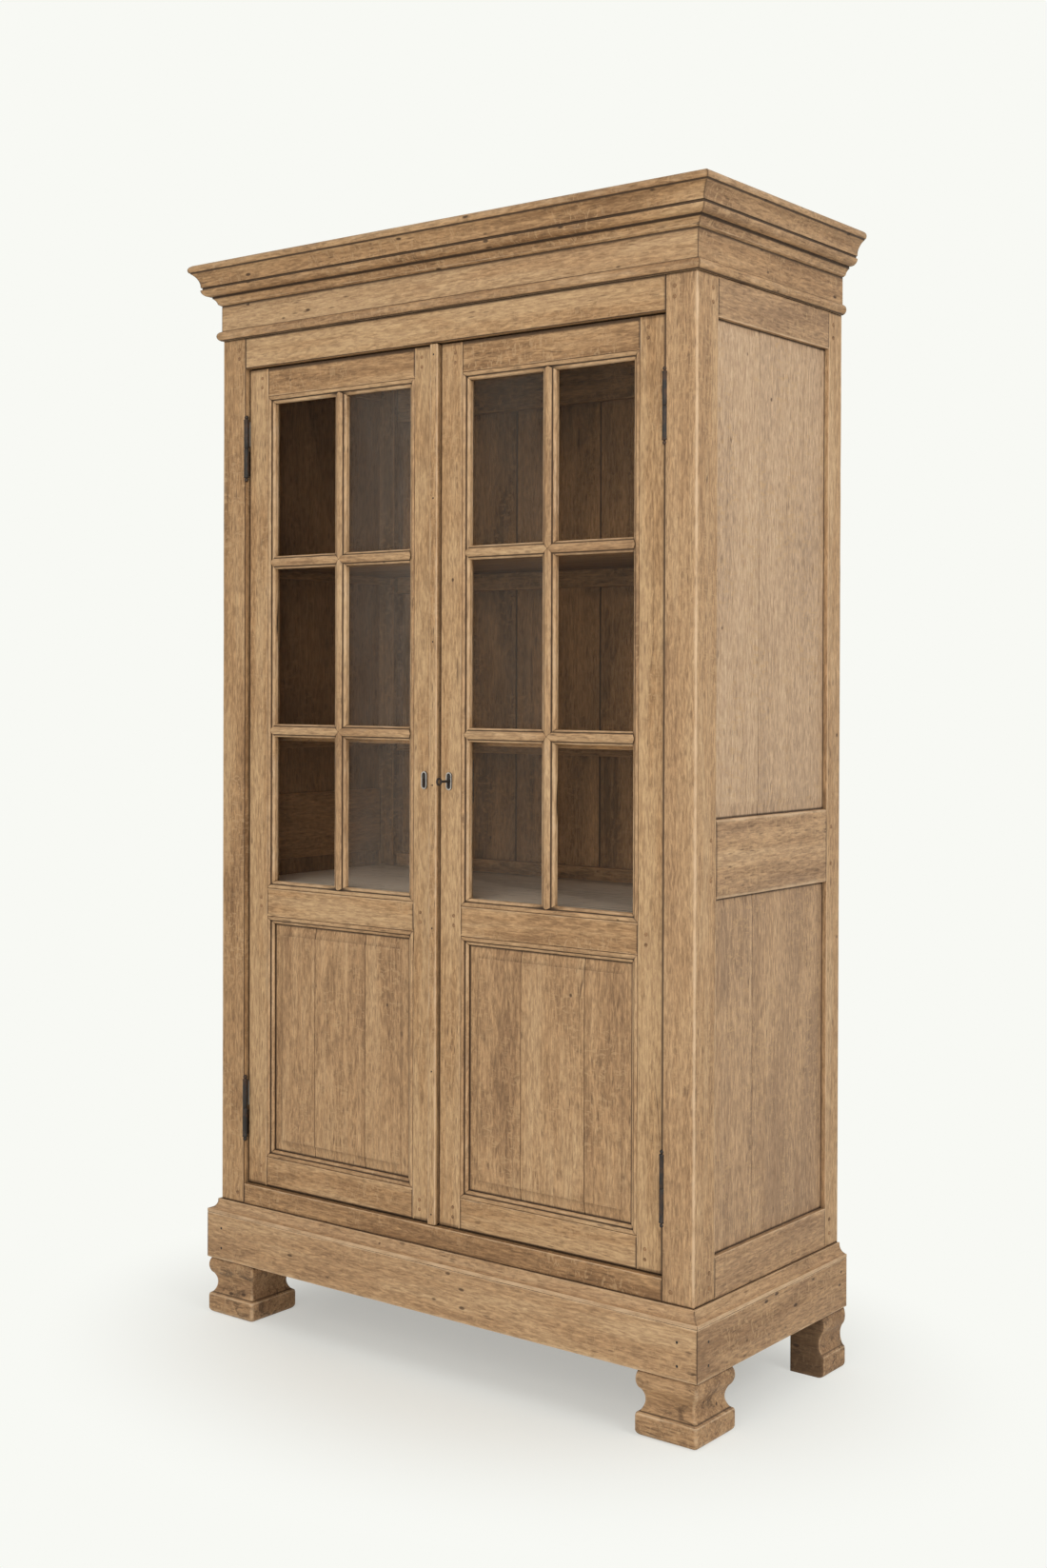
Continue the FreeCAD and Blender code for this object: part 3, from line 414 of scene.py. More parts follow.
class Timber:
    """Gathers the boards of one piece, and what the oak finish reads at each of their points."""

    def __init__(self, name, sizes, bleach=0.0, tone=0.5, pitting=0.35):
        self.name = name
        self.sizes = sizes
        self.bleach = bleach
        self.pitting = pitting
        self.tone_middle = tone
        self.chance = random.Random(name)
        self.points = []
        self.faces = []
        self.caps = []
        self.grain = []
        self.wear_and_shade = []
        self.tone = []
        self.bleached = []

    def new_board(self, grain):
        """Sets the grain's direction, place and tone for the next board."""
        across = Vector((grain.y, grain.z, grain.x))
        self.lay = Matrix((grain, across, grain.cross(across)))
        self.shift = Vector([self.chance.uniform(0, 20) for _ in range(3)])
        self.board_tone = self.tone_middle + self.chance.uniform(-0.15, 0.15)

    def add_point(self, point, wear_and_shade):
        self.points.append(point)
        self.grain.append(self.lay @ point + self.shift)
        self.wear_and_shade.append(wear_and_shade)
        self.tone.append(self.board_tone)
        self.bleached.append(self.bleach)

    def hollow(self, point, wear_and_shade):
        """How far a point lies under the ideal face, from planing and wear."""
        along = self.lay @ point
        place = Vector((along.x * 5, along.y * 18, along.z * 18)) + self.shift
        depth = self.sizes.waviness * (0.5 + 0.5 * noise.noise(place))
        if wear_and_shade > 0.4:
            depth += self.sizes.nick * max(0, noise.noise(point * 33 + self.shift) - 0.22)
        return depth

    def loft(self, rings):
        """Skins rings of (point, wear) into one closed board."""
        self.faces.extend(skin(len(self.points), len(rings), len(rings[0])))
        self.caps.extend((len(self.faces) - 2, len(self.faces) - 1))
        for ring in rings:
            for point, wear_and_shade in ring:
                self.add_point(point, wear_and_shade)

    def run(self, ring, axes, origin, start, end, grain=None, ends=1.0, easing=None, reach=plain_support):
        """Carries a ring along an axis. Start and end give the cut, so that an end can be mitred."""
        along, across, outward = axes
        self.new_board(grain or along)
        normals = ring_normals(ring)
        easing = self.sizes.arris if easing is None else easing
        station_spacing = 48 * MM
        first_point = ring[0][:2]
        count = max(2, round((end(*first_point) - start(*first_point)) / station_spacing))
        # Near an end: how far along, how far inset, and the share of the end's wear
        near = [(0, easing, 1), (0.3 * easing, 0.3 * easing, 1), (easing, 0, 0.6)]
        near += [(easing + 0.5 * reach, 0, 0.5), (easing + reach, 0, 0)]
        first_end, last_end = ends if isinstance(ends, tuple) else (ends, ends)
        stations = [(0, shift, inset, share * first_end) for shift, inset, share in near]
        stations += [(index / count, 0, 0, 0) for index in range(1, count)]
        stations += [(1, -shift, inset, share * last_end) for shift, inset, share in reversed(near)]
        rings = []
        for blend, shift, inset, end_wear in stations:
            row = []
            for (a, b, wear_and_shade), normal in zip(ring, normals):
                s = start(a, b) * (1 - blend) + end(a, b) * blend + shift
                whole_wear_and_shade = stronger(wear_and_shade, end_wear)
                point = origin + along * s + across * a + outward * b
                depth = inset + self.hollow(point, whole_wear_and_shade)
                point -= (across * normal.x + outward * normal.y) * depth
                row.append((point, whole_wear_and_shade))
            rings.append(row)
        self.loft(rings)

    def plank(self, low, high, grain, soft=None, gap_shade=None, ends=-1.0, easing=None, reach=plain_support):
        """A straight board between two corners, with its grain along an axis. Soft and grimy name edges."""
        axes = AXES[grain]
        along, across, outward = axes
        a0, a1 = low.dot(across), high.dot(across)
        b0, b1 = low.dot(outward), high.dot(outward)
        ring = eased_ring([(a0, b0), (a1, b0), (a1, b1), (a0, b1)], self.sizes.arris, soft, gap_shade)
        start, end = low.dot(along), high.dot(along)
        self.run(ring, axes, ORIGIN, lambda a, b: start, lambda a, b: end, None, ends, easing, reach)

    def slab(self, points, low, high, grain):
        """A level board cut to an outline, such as a shelf notched round the posts."""
        ring = eased_ring(points, self.sizes.arris)
        self.run(ring, AXES["Z"], ORIGIN, lambda a, b: low, lambda a, b: high, grain=grain, ends=0.3)

    def fielded(
        self, origin, across, along, outward, edges, opening, rise, margin, bevel, thickness, quirk=1.0,
    ):
        """One board of a raised panel. Edges are the board's own, opening is what the frame leaves free.

        The last quarter of the rise is a small step round the field. Quirk says how strongly the shade
        painted in the step's corner and the worn line on its edge show.
        """
        self.new_board(along)
        u0, u1, v0, v1 = edges
        p0, p1, q0, q1 = opening
        arris = self.sizes.arris
        step = 1.2 * MM
        slope = (margin, margin + bevel, margin + bevel + step)

        def lines(low, high, first, last, spacing):
            """Where the grid's lines run: at the board's edges, at each bend of the panel and between."""
            marks = [low, low + arris, low + 4 * MM, high - 4 * MM, high - arris, high]
            marks += [first + s for s in slope] + [last - s for s in slope]
            marks += [first + slope[2] + 3 * MM, last - slope[2] - 3 * MM]
            for reach in (-1 * MM, 2 * MM, 5 * MM, 8 * MM):
                marks += [first + reach, last - reach]
            count = round((high - low) / spacing)
            marks += [low + (high - low) * index / count for index in range(1, count)]
            kept = []
            for mark in sorted(m for m in marks if low <= m <= high):
                if not kept or mark - kept[-1] > 0.4 * MM:
                    kept.append(mark)
            return kept

        def clear_of_frame(u, v):
            """How far a point lies inside the opening."""
            return min(u - p0, p1 - u, v - q0, q1 - v)

        column_spacing = 34 * MM
        row_spacing = 48 * MM
        columns = lines(u0, u1, p0, p1, column_spacing)
        rows = lines(v0, v1, q0, q1, row_spacing)
        first = len(self.points)
        levels = []
        for v in rows:
            for u in columns:
                inside = clear_of_frame(u, v)
                level = rise * 0.75 * max(0, min(1, (inside - margin) / bevel))
                level += rise * 0.25 * max(0, min(1, (inside - slope[1]) / step))
                edge = min(u - u0, u1 - u)
                wear_and_shade = 0.0
                # Painted shade in the step's corner and beside the frame, and a worn paler line on the step's
                # edge
                if abs(inside - slope[1]) < 0.2 * MM:
                    wear_and_shade = -0.4 * quirk
                elif abs(inside - slope[2]) < 0.2 * MM:
                    wear_and_shade = 0.35 * quirk
                elif inside < 8 * MM:
                    wear_and_shade = min(0, max(-1, inside / (4.5 * MM) - 1.2))
                if edge < 0.5 * arris:
                    level -= arris
                    wear_and_shade = -0.8
                point = origin + across * u + along * v + outward * level
                point -= outward * self.hollow(point, wear_and_shade)
                levels.append(level)
                self.add_point(point, wear_and_shade)
        width = len(columns)
        for row in range(len(rows) - 1):
            for column in range(width - 1):
                corner = row * width + column
                a, b, c, d = corner, corner + 1, corner + width + 1, corner + width
                twist = (levels[a] + levels[c]) - (levels[b] + levels[d])
                a, b, c, d = (first + index for index in (a, b, c, d))
                if abs(twist) < 0.01 * MM:
                    self.faces.append((a, b, c, d))
                elif twist > 0:
                    self.faces.extend([(a, b, c), (a, c, d)])
                else:
                    self.faces.extend([(a, b, d), (b, c, d)])
        rim = grid_rim(len(rows), width)
        behind = len(self.points)
        for index in rim:
            point = self.points[first + index].copy()
            point -= outward * ((point - origin).dot(outward) + thickness)
            self.add_point(point, -0.25)
        for index in range(len(rim)):
            beside = (index + 1) % len(rim)
            self.faces.append((first + rim[beside], first + rim[index], behind + index, behind + beside))
        self.caps.append(len(self.faces))
        self.faces.append(tuple(behind + index for index in range(len(rim) - 1, -1, -1)))

    def piece(self, body, node, slot, material, bare=None, hidden=()):
        """Makes the Blender piece that stands for a node. Faces along a hidden way get the bare finish."""
        mesh = closed_mesh(self.name, self.points, self.faces, sharp_degrees=52, flat_faces=self.caps)
        grain = mesh.attributes.new("grain", "FLOAT_VECTOR", "POINT")
        grain.data.foreach_set("vector", [value for point in self.grain for value in point])
        pits = [self.pitting] * len(self.points)
        readings = (("wear_and_shade", self.wear_and_shade), ("tone", self.tone), ("bleach", self.bleached), ("pitting", pits))
        for name, values in readings:
            mesh.attributes.new(name, "FLOAT", "POINT").data.foreach_set("value", values)
        place_piece(self.name, mesh, body, node, material)
        if bare:
            mesh.materials.append(bare)
            for face in mesh.polygons:
                unseen = any(face.normal.dot(way) > 0.8 for way in hidden)
                if unseen and abs(face.center.x) < inside_limit:
                    face.material_index = 1


def place_piece(name, mesh, body, node, material):
    """Puts a mesh on its body, in place of a node if it names one."""
    piece = bpy.data.objects.new(name, mesh)
    bpy.context.scene.collection.objects.link(piece)
    mesh.materials.append(material)
    if node:
        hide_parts(node)
    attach(piece, body)


# Finishes
class Finish:
    """A material under construction, with short calls that add and join its nodes."""

    def __init__(self, name):
        self.material = bpy.data.materials.new(name)
        self.material.use_nodes = True
        self.tree = self.material.node_tree
        self.tree.nodes.clear()

    def add(self, kind, **settings):
        node = self.tree.nodes.new("ShaderNode" + kind)
        for name, value in settings.items():
            setattr(node, name, value)
        return node

    def feed(self, socket, value):
        """Joins a socket to another node's output, or sets it to a plain value."""
        if isinstance(value, bpy.types.NodeSocket):
            self.tree.links.new(value, socket)
        else:
            socket.default_value = value

    def made(self, kind, sockets):
        """A node with its named sockets fed."""
        node = self.add(kind)
        for name, value in sockets.items():
            self.feed(node.inputs[name], value)
        return node

    def reading(self, name, output="Fac"):
        """A value that the mesh holds at its points."""
        return self.add("Attribute", attribute_name=name).outputs[output]

    def scaled(self, vector, scale):
        node = self.add("VectorMath", operation="MULTIPLY")
        self.feed(node.inputs[0], vector)
        self.feed(node.inputs[1], scale)
        return node.outputs[0]

    def noise(self, vector, scale, detail=3.0, roughness=0.5, distortion=0.0):
        return self.made("TexNoise", {
            "Vector": self.scaled(vector, scale), "Scale": 1.0, "Detail": detail, "Roughness": roughness,
            "Distortion": distortion,
        }).outputs["Fac"]

    def sums(self, operation, first, second=0.0, third=0.0):
        node = self.add("Math", operation=operation)
        for socket, value in zip(node.inputs, (first, second, third)):
            self.feed(socket, value)
        return node.outputs[0]

    def ranged(self, value, low, high, to_low=0.0, to_high=1.0):
        """Maps a range smoothly onto another one."""
        node = self.add("MapRange", interpolation_type="SMOOTHSTEP")
        self.feed(node.inputs["Value"], value)
        for name, number in (("From Min", low), ("From Max", high), ("To Min", to_low), ("To Max", to_high)):
            self.feed(node.inputs[name], number)
        return node.outputs["Result"]

    def ramp(self, value, stops):
        """Colours along a value. A stop is (position, colour)."""
        node = self.add("ValToRGB")
        self.feed(node.inputs[0], value)
        elements = node.color_ramp.elements
        while len(elements) < len(stops):
            elements.new(0.5)
        for element, (position, colour) in zip(elements, stops):
            element.position = position
            element.color = (*colour, 1)
        return node.outputs[0]

    def blend(self, factor, first, second, mode="MIX"):
        """Two colours mixed by a factor."""
        node = self.add("Mix", data_type="RGBA", blend_type=mode)
        self.feed(node.inputs[0], factor)
        for socket, value in ((node.inputs[6], first), (node.inputs[7], second)):
            self.feed(socket, value if isinstance(value, bpy.types.NodeSocket) else (*value, 1))
        return node.outputs[2]

    def spots(self, vector, scale, share, inner, outer):
        """A mask of small scattered spots: the share of cells that have one, and its soft edge."""
        node = self.made("TexVoronoi", {"Vector": self.scaled(vector, scale), "Scale": 1.0})
        parts = self.made("SeparateColor", {"Color": node.outputs["Color"]})
        chosen = self.sums("GREATER_THAN", parts.outputs[0], 1 - share)
        near = self.ranged(node.outputs["Distance"], inner, outer, 1.0, 0.0)
        return self.sums("MULTIPLY", chosen, near)

    def bump(self, height, strength, distance):
        return self.made("Bump", {"Strength": strength, "Distance": distance, "Height": height}).outputs[0]

    def mixed(self, factor, first, second):
        """Two shaders mixed by a factor."""
        node = self.add("MixShader")
        for socket, value in zip(node.inputs, (factor, first, second)):
            self.feed(socket, value)
        return node.outputs[0]

    def line(self, value, low, high):
        """A mask of thin lines where a noise passes its middle."""
        distance = self.sums("ABSOLUTE", self.sums("SUBTRACT", value, 0.5))
        return self.ranged(distance, low, high, 1.0, 0.0)

    def surface(self, shader):
        """Ends the material with its shader."""
        self.made("OutputMaterial", {"Surface": shader})
        return self.material


def shaded(colour, share):
    """A colour made darker, or lighter where the share is over 1."""
    return tuple(value * share for value in colour)


def oak_finish(name, tones, worn, grey, dirt_and_shade, roughness, corner_shade_share=0.95):
    """Weathered oak that reads each point's grain, worn paleness and painted shade, tone, bleach, pitting,
    and shade painted from nearby timber.
    """
    made = bpy.data.materials.get(name)
    if made:
        return made
    finish = Finish(name)
    grain = finish.reading("grain", "Vector")
    wear_and_shade = finish.reading("wear_and_shade")
    tone = finish.reading("tone")
    bleach = finish.reading("bleach")
    pitting = finish.reading("pitting")
    pale, tan, dark = tones

    # Broad tones and fibres
    cloud = finish.noise(grain, (3.5, 14, 14), 3, 0.55, 0.4)
    streak = finish.noise(grain, (2.4, 60, 60), 3, 0.55, 0.6)
    fibre = finish.noise(grain, (44, 230, 230), 4, 0.68, 0.5)
    level = finish.sums("MULTIPLY", cloud, 0.34)
    for part, share in ((streak, 0.18), (fibre, 0.16), (tone, 0.12)):
        level = finish.sums("MULTIPLY_ADD", part, share, level)
    colour = finish.ramp(level, [(0.29, dark), (0.385, tan), (0.475, pale)])
    colour = finish.blend(finish.sums("MULTIPLY", bleach, 0.75), colour, grey)
    colour = finish.blend(0.46, colour, finish.ranged(fibre, 0.28, 0.72, 0.20, 0.80), "OVERLAY")

    # Ray flecks and year rings
    rays = finish.noise(grain, (150, 64, 64), 2, 0.5, 0.9)
    patches = finish.noise(grain, (5, 11, 11), 2, 0.5)
    rays = finish.ranged(rays, 0.54, 0.64, 0.0, 0.6)
    rays = finish.sums("MULTIPLY", rays, finish.ranged(patches, 0.36, 0.58))
    colour = finish.blend(rays, colour, pale)
    ring_line = finish.noise(grain, (4.5, 120, 120), 1, 0.5, 0.5)
    ring_line = finish.line(ring_line, 0.0, 0.05)
    colour = finish.blend(finish.sums("MULTIPLY", ring_line, 0.26), colour, dark)

    # Pores, pits, worm holes, cracks and the stains of the feet
    pores = finish.spots(grain, (30, 190, 190), 0.40, 0.08, 0.36)
    pores = finish.sums("MULTIPLY", pores, finish.ranged(patches, 0.40, 0.66, 0.20, 0.6))
    pits = finish.spots(grain, (30, 70, 70), 0.09, 0.12, 0.27)
    pits = finish.sums("MULTIPLY", pits, finish.ranged(pitting, 0.2, 0.9, 0.3, 0.95))
    pits = finish.sums("MAXIMUM", pores, pits)
    holes = finish.spots(grain, (21, 25, 25), 0.09, 0.040, 0.10)
    holes = finish.sums("MULTIPLY", holes, 0.85)
    split = finish.noise(grain, (1.6, 40, 40), 1, 0.5, 0.3)
    split = finish.line(split, 0.001, 0.007)
    split_place = finish.noise(grain, (3, 6, 6), 2, 0.5)
    split = finish.sums("MULTIPLY", split, finish.ranged(split_place, 0.60, 0.68, 0.0, 0.65))
    stain = finish.noise(grain, (24, 44, 44), 5, 0.65, 0.8)
    stain = finish.ranged(stain, 0.52, 0.68, 0.0, 0.7)
    stain = finish.sums("MULTIPLY", stain, finish.ranged(pitting, 1.0, 1.5))
    marks = finish.sums("MAXIMUM", pits, holes)
    marks = finish.sums("MAXIMUM", marks, finish.sums("MAXIMUM", split, stain))
    colour = finish.blend(marks, colour, shaded(dirt_and_shade, 1.6))

    # Edges rubbed bare, painted shade in hollows, gaps and corners, and dark joints
    rub = finish.noise(grain, (22, 60, 60), 3, 0.6)
    # Painted shade where other timber closes in round a point
    corner_shade = finish.reading("dirt_and_shade")
    rubbed = finish.sums("MULTIPLY_ADD", corner_shade, -2.0, wear_and_shade)
    rubbed = finish.sums("ADD", rubbed, finish.sums("MULTIPLY_ADD", rub, 1.1, -0.55))
    colour = finish.blend(finish.ranged(rubbed, 0.22, 0.95, 0.0, 0.75), colour, worn)
    corner_shade = finish.sums("ADD", corner_shade, finish.sums("MULTIPLY_ADD", rub, 0.3, -0.15))
    colour = finish.blend(finish.ranged(corner_shade, 0.16, 0.62, 0.0, corner_shade_share), colour, dirt_and_shade)
    # Painted shade in hollows and beside gaps, and the dark lines of joints
    colour = finish.blend(finish.ranged(wear_and_shade, -0.9, -0.1, 0.9, 0.0), colour, dirt_and_shade)

    # Relief and gloss
    height = finish.sums("MULTIPLY_ADD", streak, 0.4, finish.sums("MULTIPLY", fibre, 0.6))
    height = finish.sums("MULTIPLY_ADD", ring_line, -0.12, height)
    height = finish.sums("MULTIPLY_ADD", marks, -0.9, height)
    wood = finish.made("BsdfPrincipled", {
        "Base Color": colour,
        "Roughness": finish.ranged(streak, 0.2, 0.8, roughness + 0.10, roughness - 0.08),
        "Specular IOR Level": 0.32,
        "Normal": finish.bump(height, 0.7, 1.4 * MM),
    })
    return finish.surface(wood.outputs[0])


def outside_oak(context):
    colours = context.scene.cabinet_colours
    tones = (colours.oak_pale, colours.oak_tan, colours.oak_dark)
    return oak_finish("weathered_oak", tones, colours.oak_worn, colours.oak_grey, colours.dirt_and_shade, 0.60)


def inside_oak(context):
    colours = context.scene.cabinet_colours
    tones = (shaded(colours.inside, 1.35), colours.inside, shaded(colours.inside, 0.5))
    worn = shaded(colours.inside, 1.4)
    return oak_finish("bare_inside_oak", tones, worn, colours.inside, colours.dirt_and_shade, 0.78, corner_shade_share=0.3)


def limed_oak(context):
    colours = context.scene.cabinet_colours
    tones = (shaded(colours.limed, 1.05), colours.limed, shaded(colours.limed, 0.75))
    worn = shaded(colours.limed, 1.05)
    return oak_finish("limed_oak", tones, worn, colours.limed, colours.dirt_and_shade, 0.80, corner_shade_share=0.4)


def peg_oak(context):
    colours = context.scene.cabinet_colours
    tones = (shaded(colours.peg, 1.3), colours.peg, shaded(colours.peg, 0.45))
    return oak_finish("peg_end_grain", tones, shaded(colours.peg, 1.5), colours.peg, colours.dirt_and_shade, 0.62)


def iron_finish(context, name="old_iron", rub_share=0.6, rust_share=0.35, proud=None):
    """Dark iron with a faintly rusty skin, rubbed bright on its edges, or wherever it stands proud."""
    made = bpy.data.materials.get(name)
    if made:
        return made
    colours = context.scene.cabinet_colours
    finish = Finish(name)
    place = finish.add("TexCoord").outputs["Object"]
    crust = finish.noise(place, (420, 420, 420), 4, 0.6)
    patch = finish.noise(place, (95, 95, 60), 3, 0.6)
    rust = (0.075, 0.038, 0.020)
    colour = finish.blend(finish.ranged(patch, 0.42, 0.66, 0.0, rust_share), colours.iron, rust)
    if proud is None:
        edges = finish.add("NewGeometry").outputs["Pointiness"]
        rub = finish.sums("ADD", edges, finish.sums("MULTIPLY_ADD", crust, 0.16, -0.08))
        rub = finish.ranged(rub, 0.58, 0.72, 0.0, rub_share)
    else:
        depth = finish.made("SeparateXYZ", {"Vector": place}).outputs["Y"]
        rim = finish.ranged(depth, proud - 0.3 * MM, proud + 0.3 * MM, 1.0, 0.0)
        rub = finish.sums("MULTIPLY", rim, finish.ranged(crust, 0.3, 0.6, 0.5, 1.0))
    colour = finish.blend(rub, colour, colours.iron_bright)
    metal = finish.made("BsdfPrincipled", {
        "Base Color": colour,
        "Metallic": 0.0,
        "Specular IOR Level": 0.35,
        "Roughness": finish.ranged(crust, 0.3, 0.7, 0.42, 0.62),
        "Normal": finish.bump(crust, 0.3, 0.3 * MM),
    })
    return finish.surface(metal.outputs[0])


def glass_finish(context):
    """Old clear glass under a thin dusty film."""
    made = bpy.data.materials.get("old_glass")
    if made:
        return made
    colours = context.scene.cabinet_colours
    finish = Finish("old_glass")
    place = finish.add("TexCoord").outputs["Object"]
    dust = finish.noise(place, (7, 7, 4), 4, 0.6)
    smear = finish.noise(place, (60, 60, 9), 3, 0.6)
    veil = finish.sums("MULTIPLY_ADD", smear, 0.9, finish.sums("MULTIPLY_ADD", dust, 0.9, -0.05))
    film = finish.sums("MULTIPLY", finish.reading("film"), veil)
    clear = finish.made("BsdfTransparent", {"Color": (0.95, 0.94, 0.92, 1)})
    dusty = finish.made("BsdfDiffuse", {"Color": (*colours.film, 1)})
    veiled = finish.mixed(film, clear.outputs[0], dusty.outputs[0])
    shine = finish.made("BsdfGlossy", {"Color": (0.9, 0.9, 0.9, 1), "Roughness": 0.03})
    edge = finish.made("Fresnel", {"IOR": 1.07})
    return finish.surface(finish.mixed(edge.outputs[0], veiled, shine.outputs[0]))


# Pieces of the base
# The inset of a foot's side at each height, top first
foot_flank = outline((5, 112), [
    ((0, 98), (4, 82)), (7, 79), ((13, 60), (6, 41)), (1, 38), (0, 34), (0, 10), ((3, 3), (10, 0)),
])


def flank_wear_and_shade(index):
    """Worn paleness at a foot's bulges and painted shade in its hollows, from how its outline turns."""
    if index in (0, len(foot_flank) - 1):
        return 0.0
    before = Vector(foot_flank[index]) - Vector(foot_flank[index - 1])
    after = Vector(foot_flank[index + 1]) - Vector(foot_flank[index])
    turn = before.angle_signed(after)
    bend = turn if abs(turn) > 0.35 else turn / (before.length + after.length) * 4 * MM
    return max(-1, min(0.8, -2.2 * bend))


def carve_foot(timber, low, high, shaped):
    """A foot between two corners. Shaped says how far each side follows the flank: -X, +X, -Y, +Y."""
    timber.new_board(X)
    points = [(low.x, low.y), (high.x, low.y), (high.x, high.y), (low.x, high.y)]
    plan = eased_ring(points, arris=6 * MM, span=18 * MM)
    centre = (low + high) / 2
    # The unshaped sides of the back feet are painted darker
    flat_side_darkening = -0.6
    rings = []
    for index, (inset, z) in enumerate(foot_flank):
        edge_wear_and_shade = flank_wear_and_shade(index)
        row = []
        for a, b, wear_and_shade in plan:
            x_share = (a - centre.x) / (high.x - low.x) * 2
            y_share = (b - centre.y) / (high.y - low.y) * 2
            x_follow = shaped[1] if x_share > 0 else shaped[0]
            y_follow = shaped[3] if y_share > 0 else shaped[2]
            point = Vector((a - inset * x_share * x_follow, b - inset * y_share * y_follow, z))
            followed = x_follow if abs(x_share) > abs(y_share) else y_follow
            whole_wear_and_shade = stronger(wear_and_shade * 0.5, edge_wear_and_shade * followed) if followed else flat_side_darkening
            inwards = Vector((centre.x - point.x, centre.y - point.y, 0)).normalized()
            point += inwards * timber.hollow(point, whole_wear_and_shade)
            row.append((point, whole_wear_and_shade))
        rings.append(row)
    timber.loft(rings)


class CABINET_OT_feet(Operator):
    """Carve the four feet"""
    bl_idname = "cabinet.feet"
    bl_label = "Feet"

    def execute(self, context):
        sizes = context.scene.cabinet_sizes
        oak = outside_oak(context)
        low, high = corners_of("front_feet")
        feet = Timber("oak_front_feet", sizes, bleach=0.1, tone=0.1, pitting=1.6)
        size = high.y - low.y
        all_round = (1, 1, 1, 1)
        carve_foot(feet, Vector((high.x - size, low.y, 0)), high, all_round)
        carve_foot(feet, low, Vector((low.x + size, high.y, high.z)), all_round)
        feet.piece("carcass", "front_feet", "oak", oak)
        low, high = corners_of("back_feet")
        feet = Timber("oak_back_feet", sizes, bleach=0.1, tone=-0.2, pitting=1.6)
        width = 72 * MM
        carve_foot(feet, Vector((high.x - width, low.y, 0)), high, (0, 0.8, 0, 0))
        carve_foot(feet, low, Vector((low.x + width, high.y, high.z)), (0.8, 0, 0, 0))
        feet.piece("carcass", "back_feet", "oak", oak)
        return {"FINISHED"}


def mitred_front(timber, ring, easing):
    """A length along the front, mitred at both ends. The ring's points are (reach, height)."""
    timber.run(
        ring, (X, -Y, Z), Y * front,
        lambda reach, z: -half_width - reach, lambda reach, z: half_width + reach,
        ends=joint_wear, easing=easing,
    )


def mitred_sides(timber, ring, easing):
    """Two lengths along the sides, mitred at the front and cut off square at the back."""
    for side in (-X, X):
        timber.run(
            ring, (Y, side, Z), side * half_width, lambda reach, z: front - reach, lambda reach, z: back,
            ends=(joint_wear, sawn_wear), easing=easing,
        )


def three_runs(timber, points, gap_shade=None, side_tone=0.5):
    """A moulding along the front and both sides."""
    ring = eased_ring(points, moulding_edge, gap_shade=gap_shade)
    mitred_front(timber, ring, 0.5 * MM)
    timber.tone_middle = side_tone
    mitred_sides(timber, ring, 0.5 * MM)


class CABINET_OT_plinth(Operator):
    """Lay the plinth boards and the moulding on top of them"""
    bl_idname = "cabinet.plinth"
    bl_label = "Plinth"

    def execute(self, context):
        sizes = context.scene.cabinet_sizes
        oak = outside_oak(context)
        inner_reach = plinth_reach - plinth_thickness
        corners = [(inner_reach, foot_height), (plinth_reach, foot_height)]
        corners += [(plinth_reach, plinth_top), (inner_reach, plinth_top)]
        ring = eased_ring(corners, sizes.arris, soft={1: 3 * MM})
        boards = Timber("oak_plinth_front", sizes, bleach=0.15, tone=0.4, pitting=0.7)
        mitred_front(boards, ring, moulding_edge)
        boards.piece("carcass", "plinth_front", "oak", oak)
        boards = Timber("oak_plinth_sides", sizes, bleach=0.15, tone=-0.1, pitting=0.9)
        mitred_sides(boards, ring, moulding_edge)
        boards.piece("carcass", "plinth_sides", "oak", oak)
        boards = Timber("oak_plinth_back", sizes)
        low, high = corners_of("plinth_back")
        boards.plank(low, high, "X")
        strip_end = half_width - moulding_bed
        boards.plank(Vector((-strip_end, low.y, high.z)), Vector((strip_end, high.y, base)), "X")
        boards.piece("carcass", "plinth_back", "inner_oak", inside_oak(context))
        moulding = Timber("oak_base_moulding", sizes, bleach=0.2, tone=0.6)
        z = base / MM
        reach = plinth_reach / MM
        bed = -moulding_bed / MM
        profile = outline((bed, z), [
            (-1, z), (0.8, z), (5, z), (5, z - 3), ((9, z - 14), (18, z - 19)),
            (reach, z - 19), (reach, z - 26), (bed, z - 26),
        ])
        three_runs(moulding, profile)
        moulding.piece("carcass", "base_moulding", "oak", oak)
        return {"FINISHED"}


# Frame of the carcass
class CABINET_OT_posts(Operator):
    """Set up the four posts"""
    bl_idname = "cabinet.posts"
    bl_label = "Posts"

    def execute(self, context):
        sizes = context.scene.cabinet_sizes
        oak = outside_oak(context)
        bare = inside_oak(context)
        tones = {"left": 0.15, "right": 0.5}
        greyed = {"left": 0.0, "right": 0.15}
        outer_edge = {"left": 0, "right": 1}
        for side, inwards in (("left", X), ("right", -X)):
            post = Timber("oak_front_post_" + side, sizes, bleach=greyed[side], tone=tones[side])
            outer = outer_edge[side]
            soft = {outer: sizes.post_edge}
            # Shade painted along the post's inner front edge, beside the door gap
            gap_shade = {1 - outer: 2 * MM}
            post.plank(*corners_of("front_post_" + side), "Z", soft, gap_shade)
            post.piece("carcass", "front_post_" + side, "oak", oak, bare, (Y,))
            post = Timber("oak_back_post_" + side, sizes, bleach=0.15, tone=tones[side])
            post.plank(*corners_of("back_post_" + side), "Z")
            post.piece("carcass", "back_post_" + side, "oak", oak, bare, (inwards, -Y))
        return {"FINISHED"}


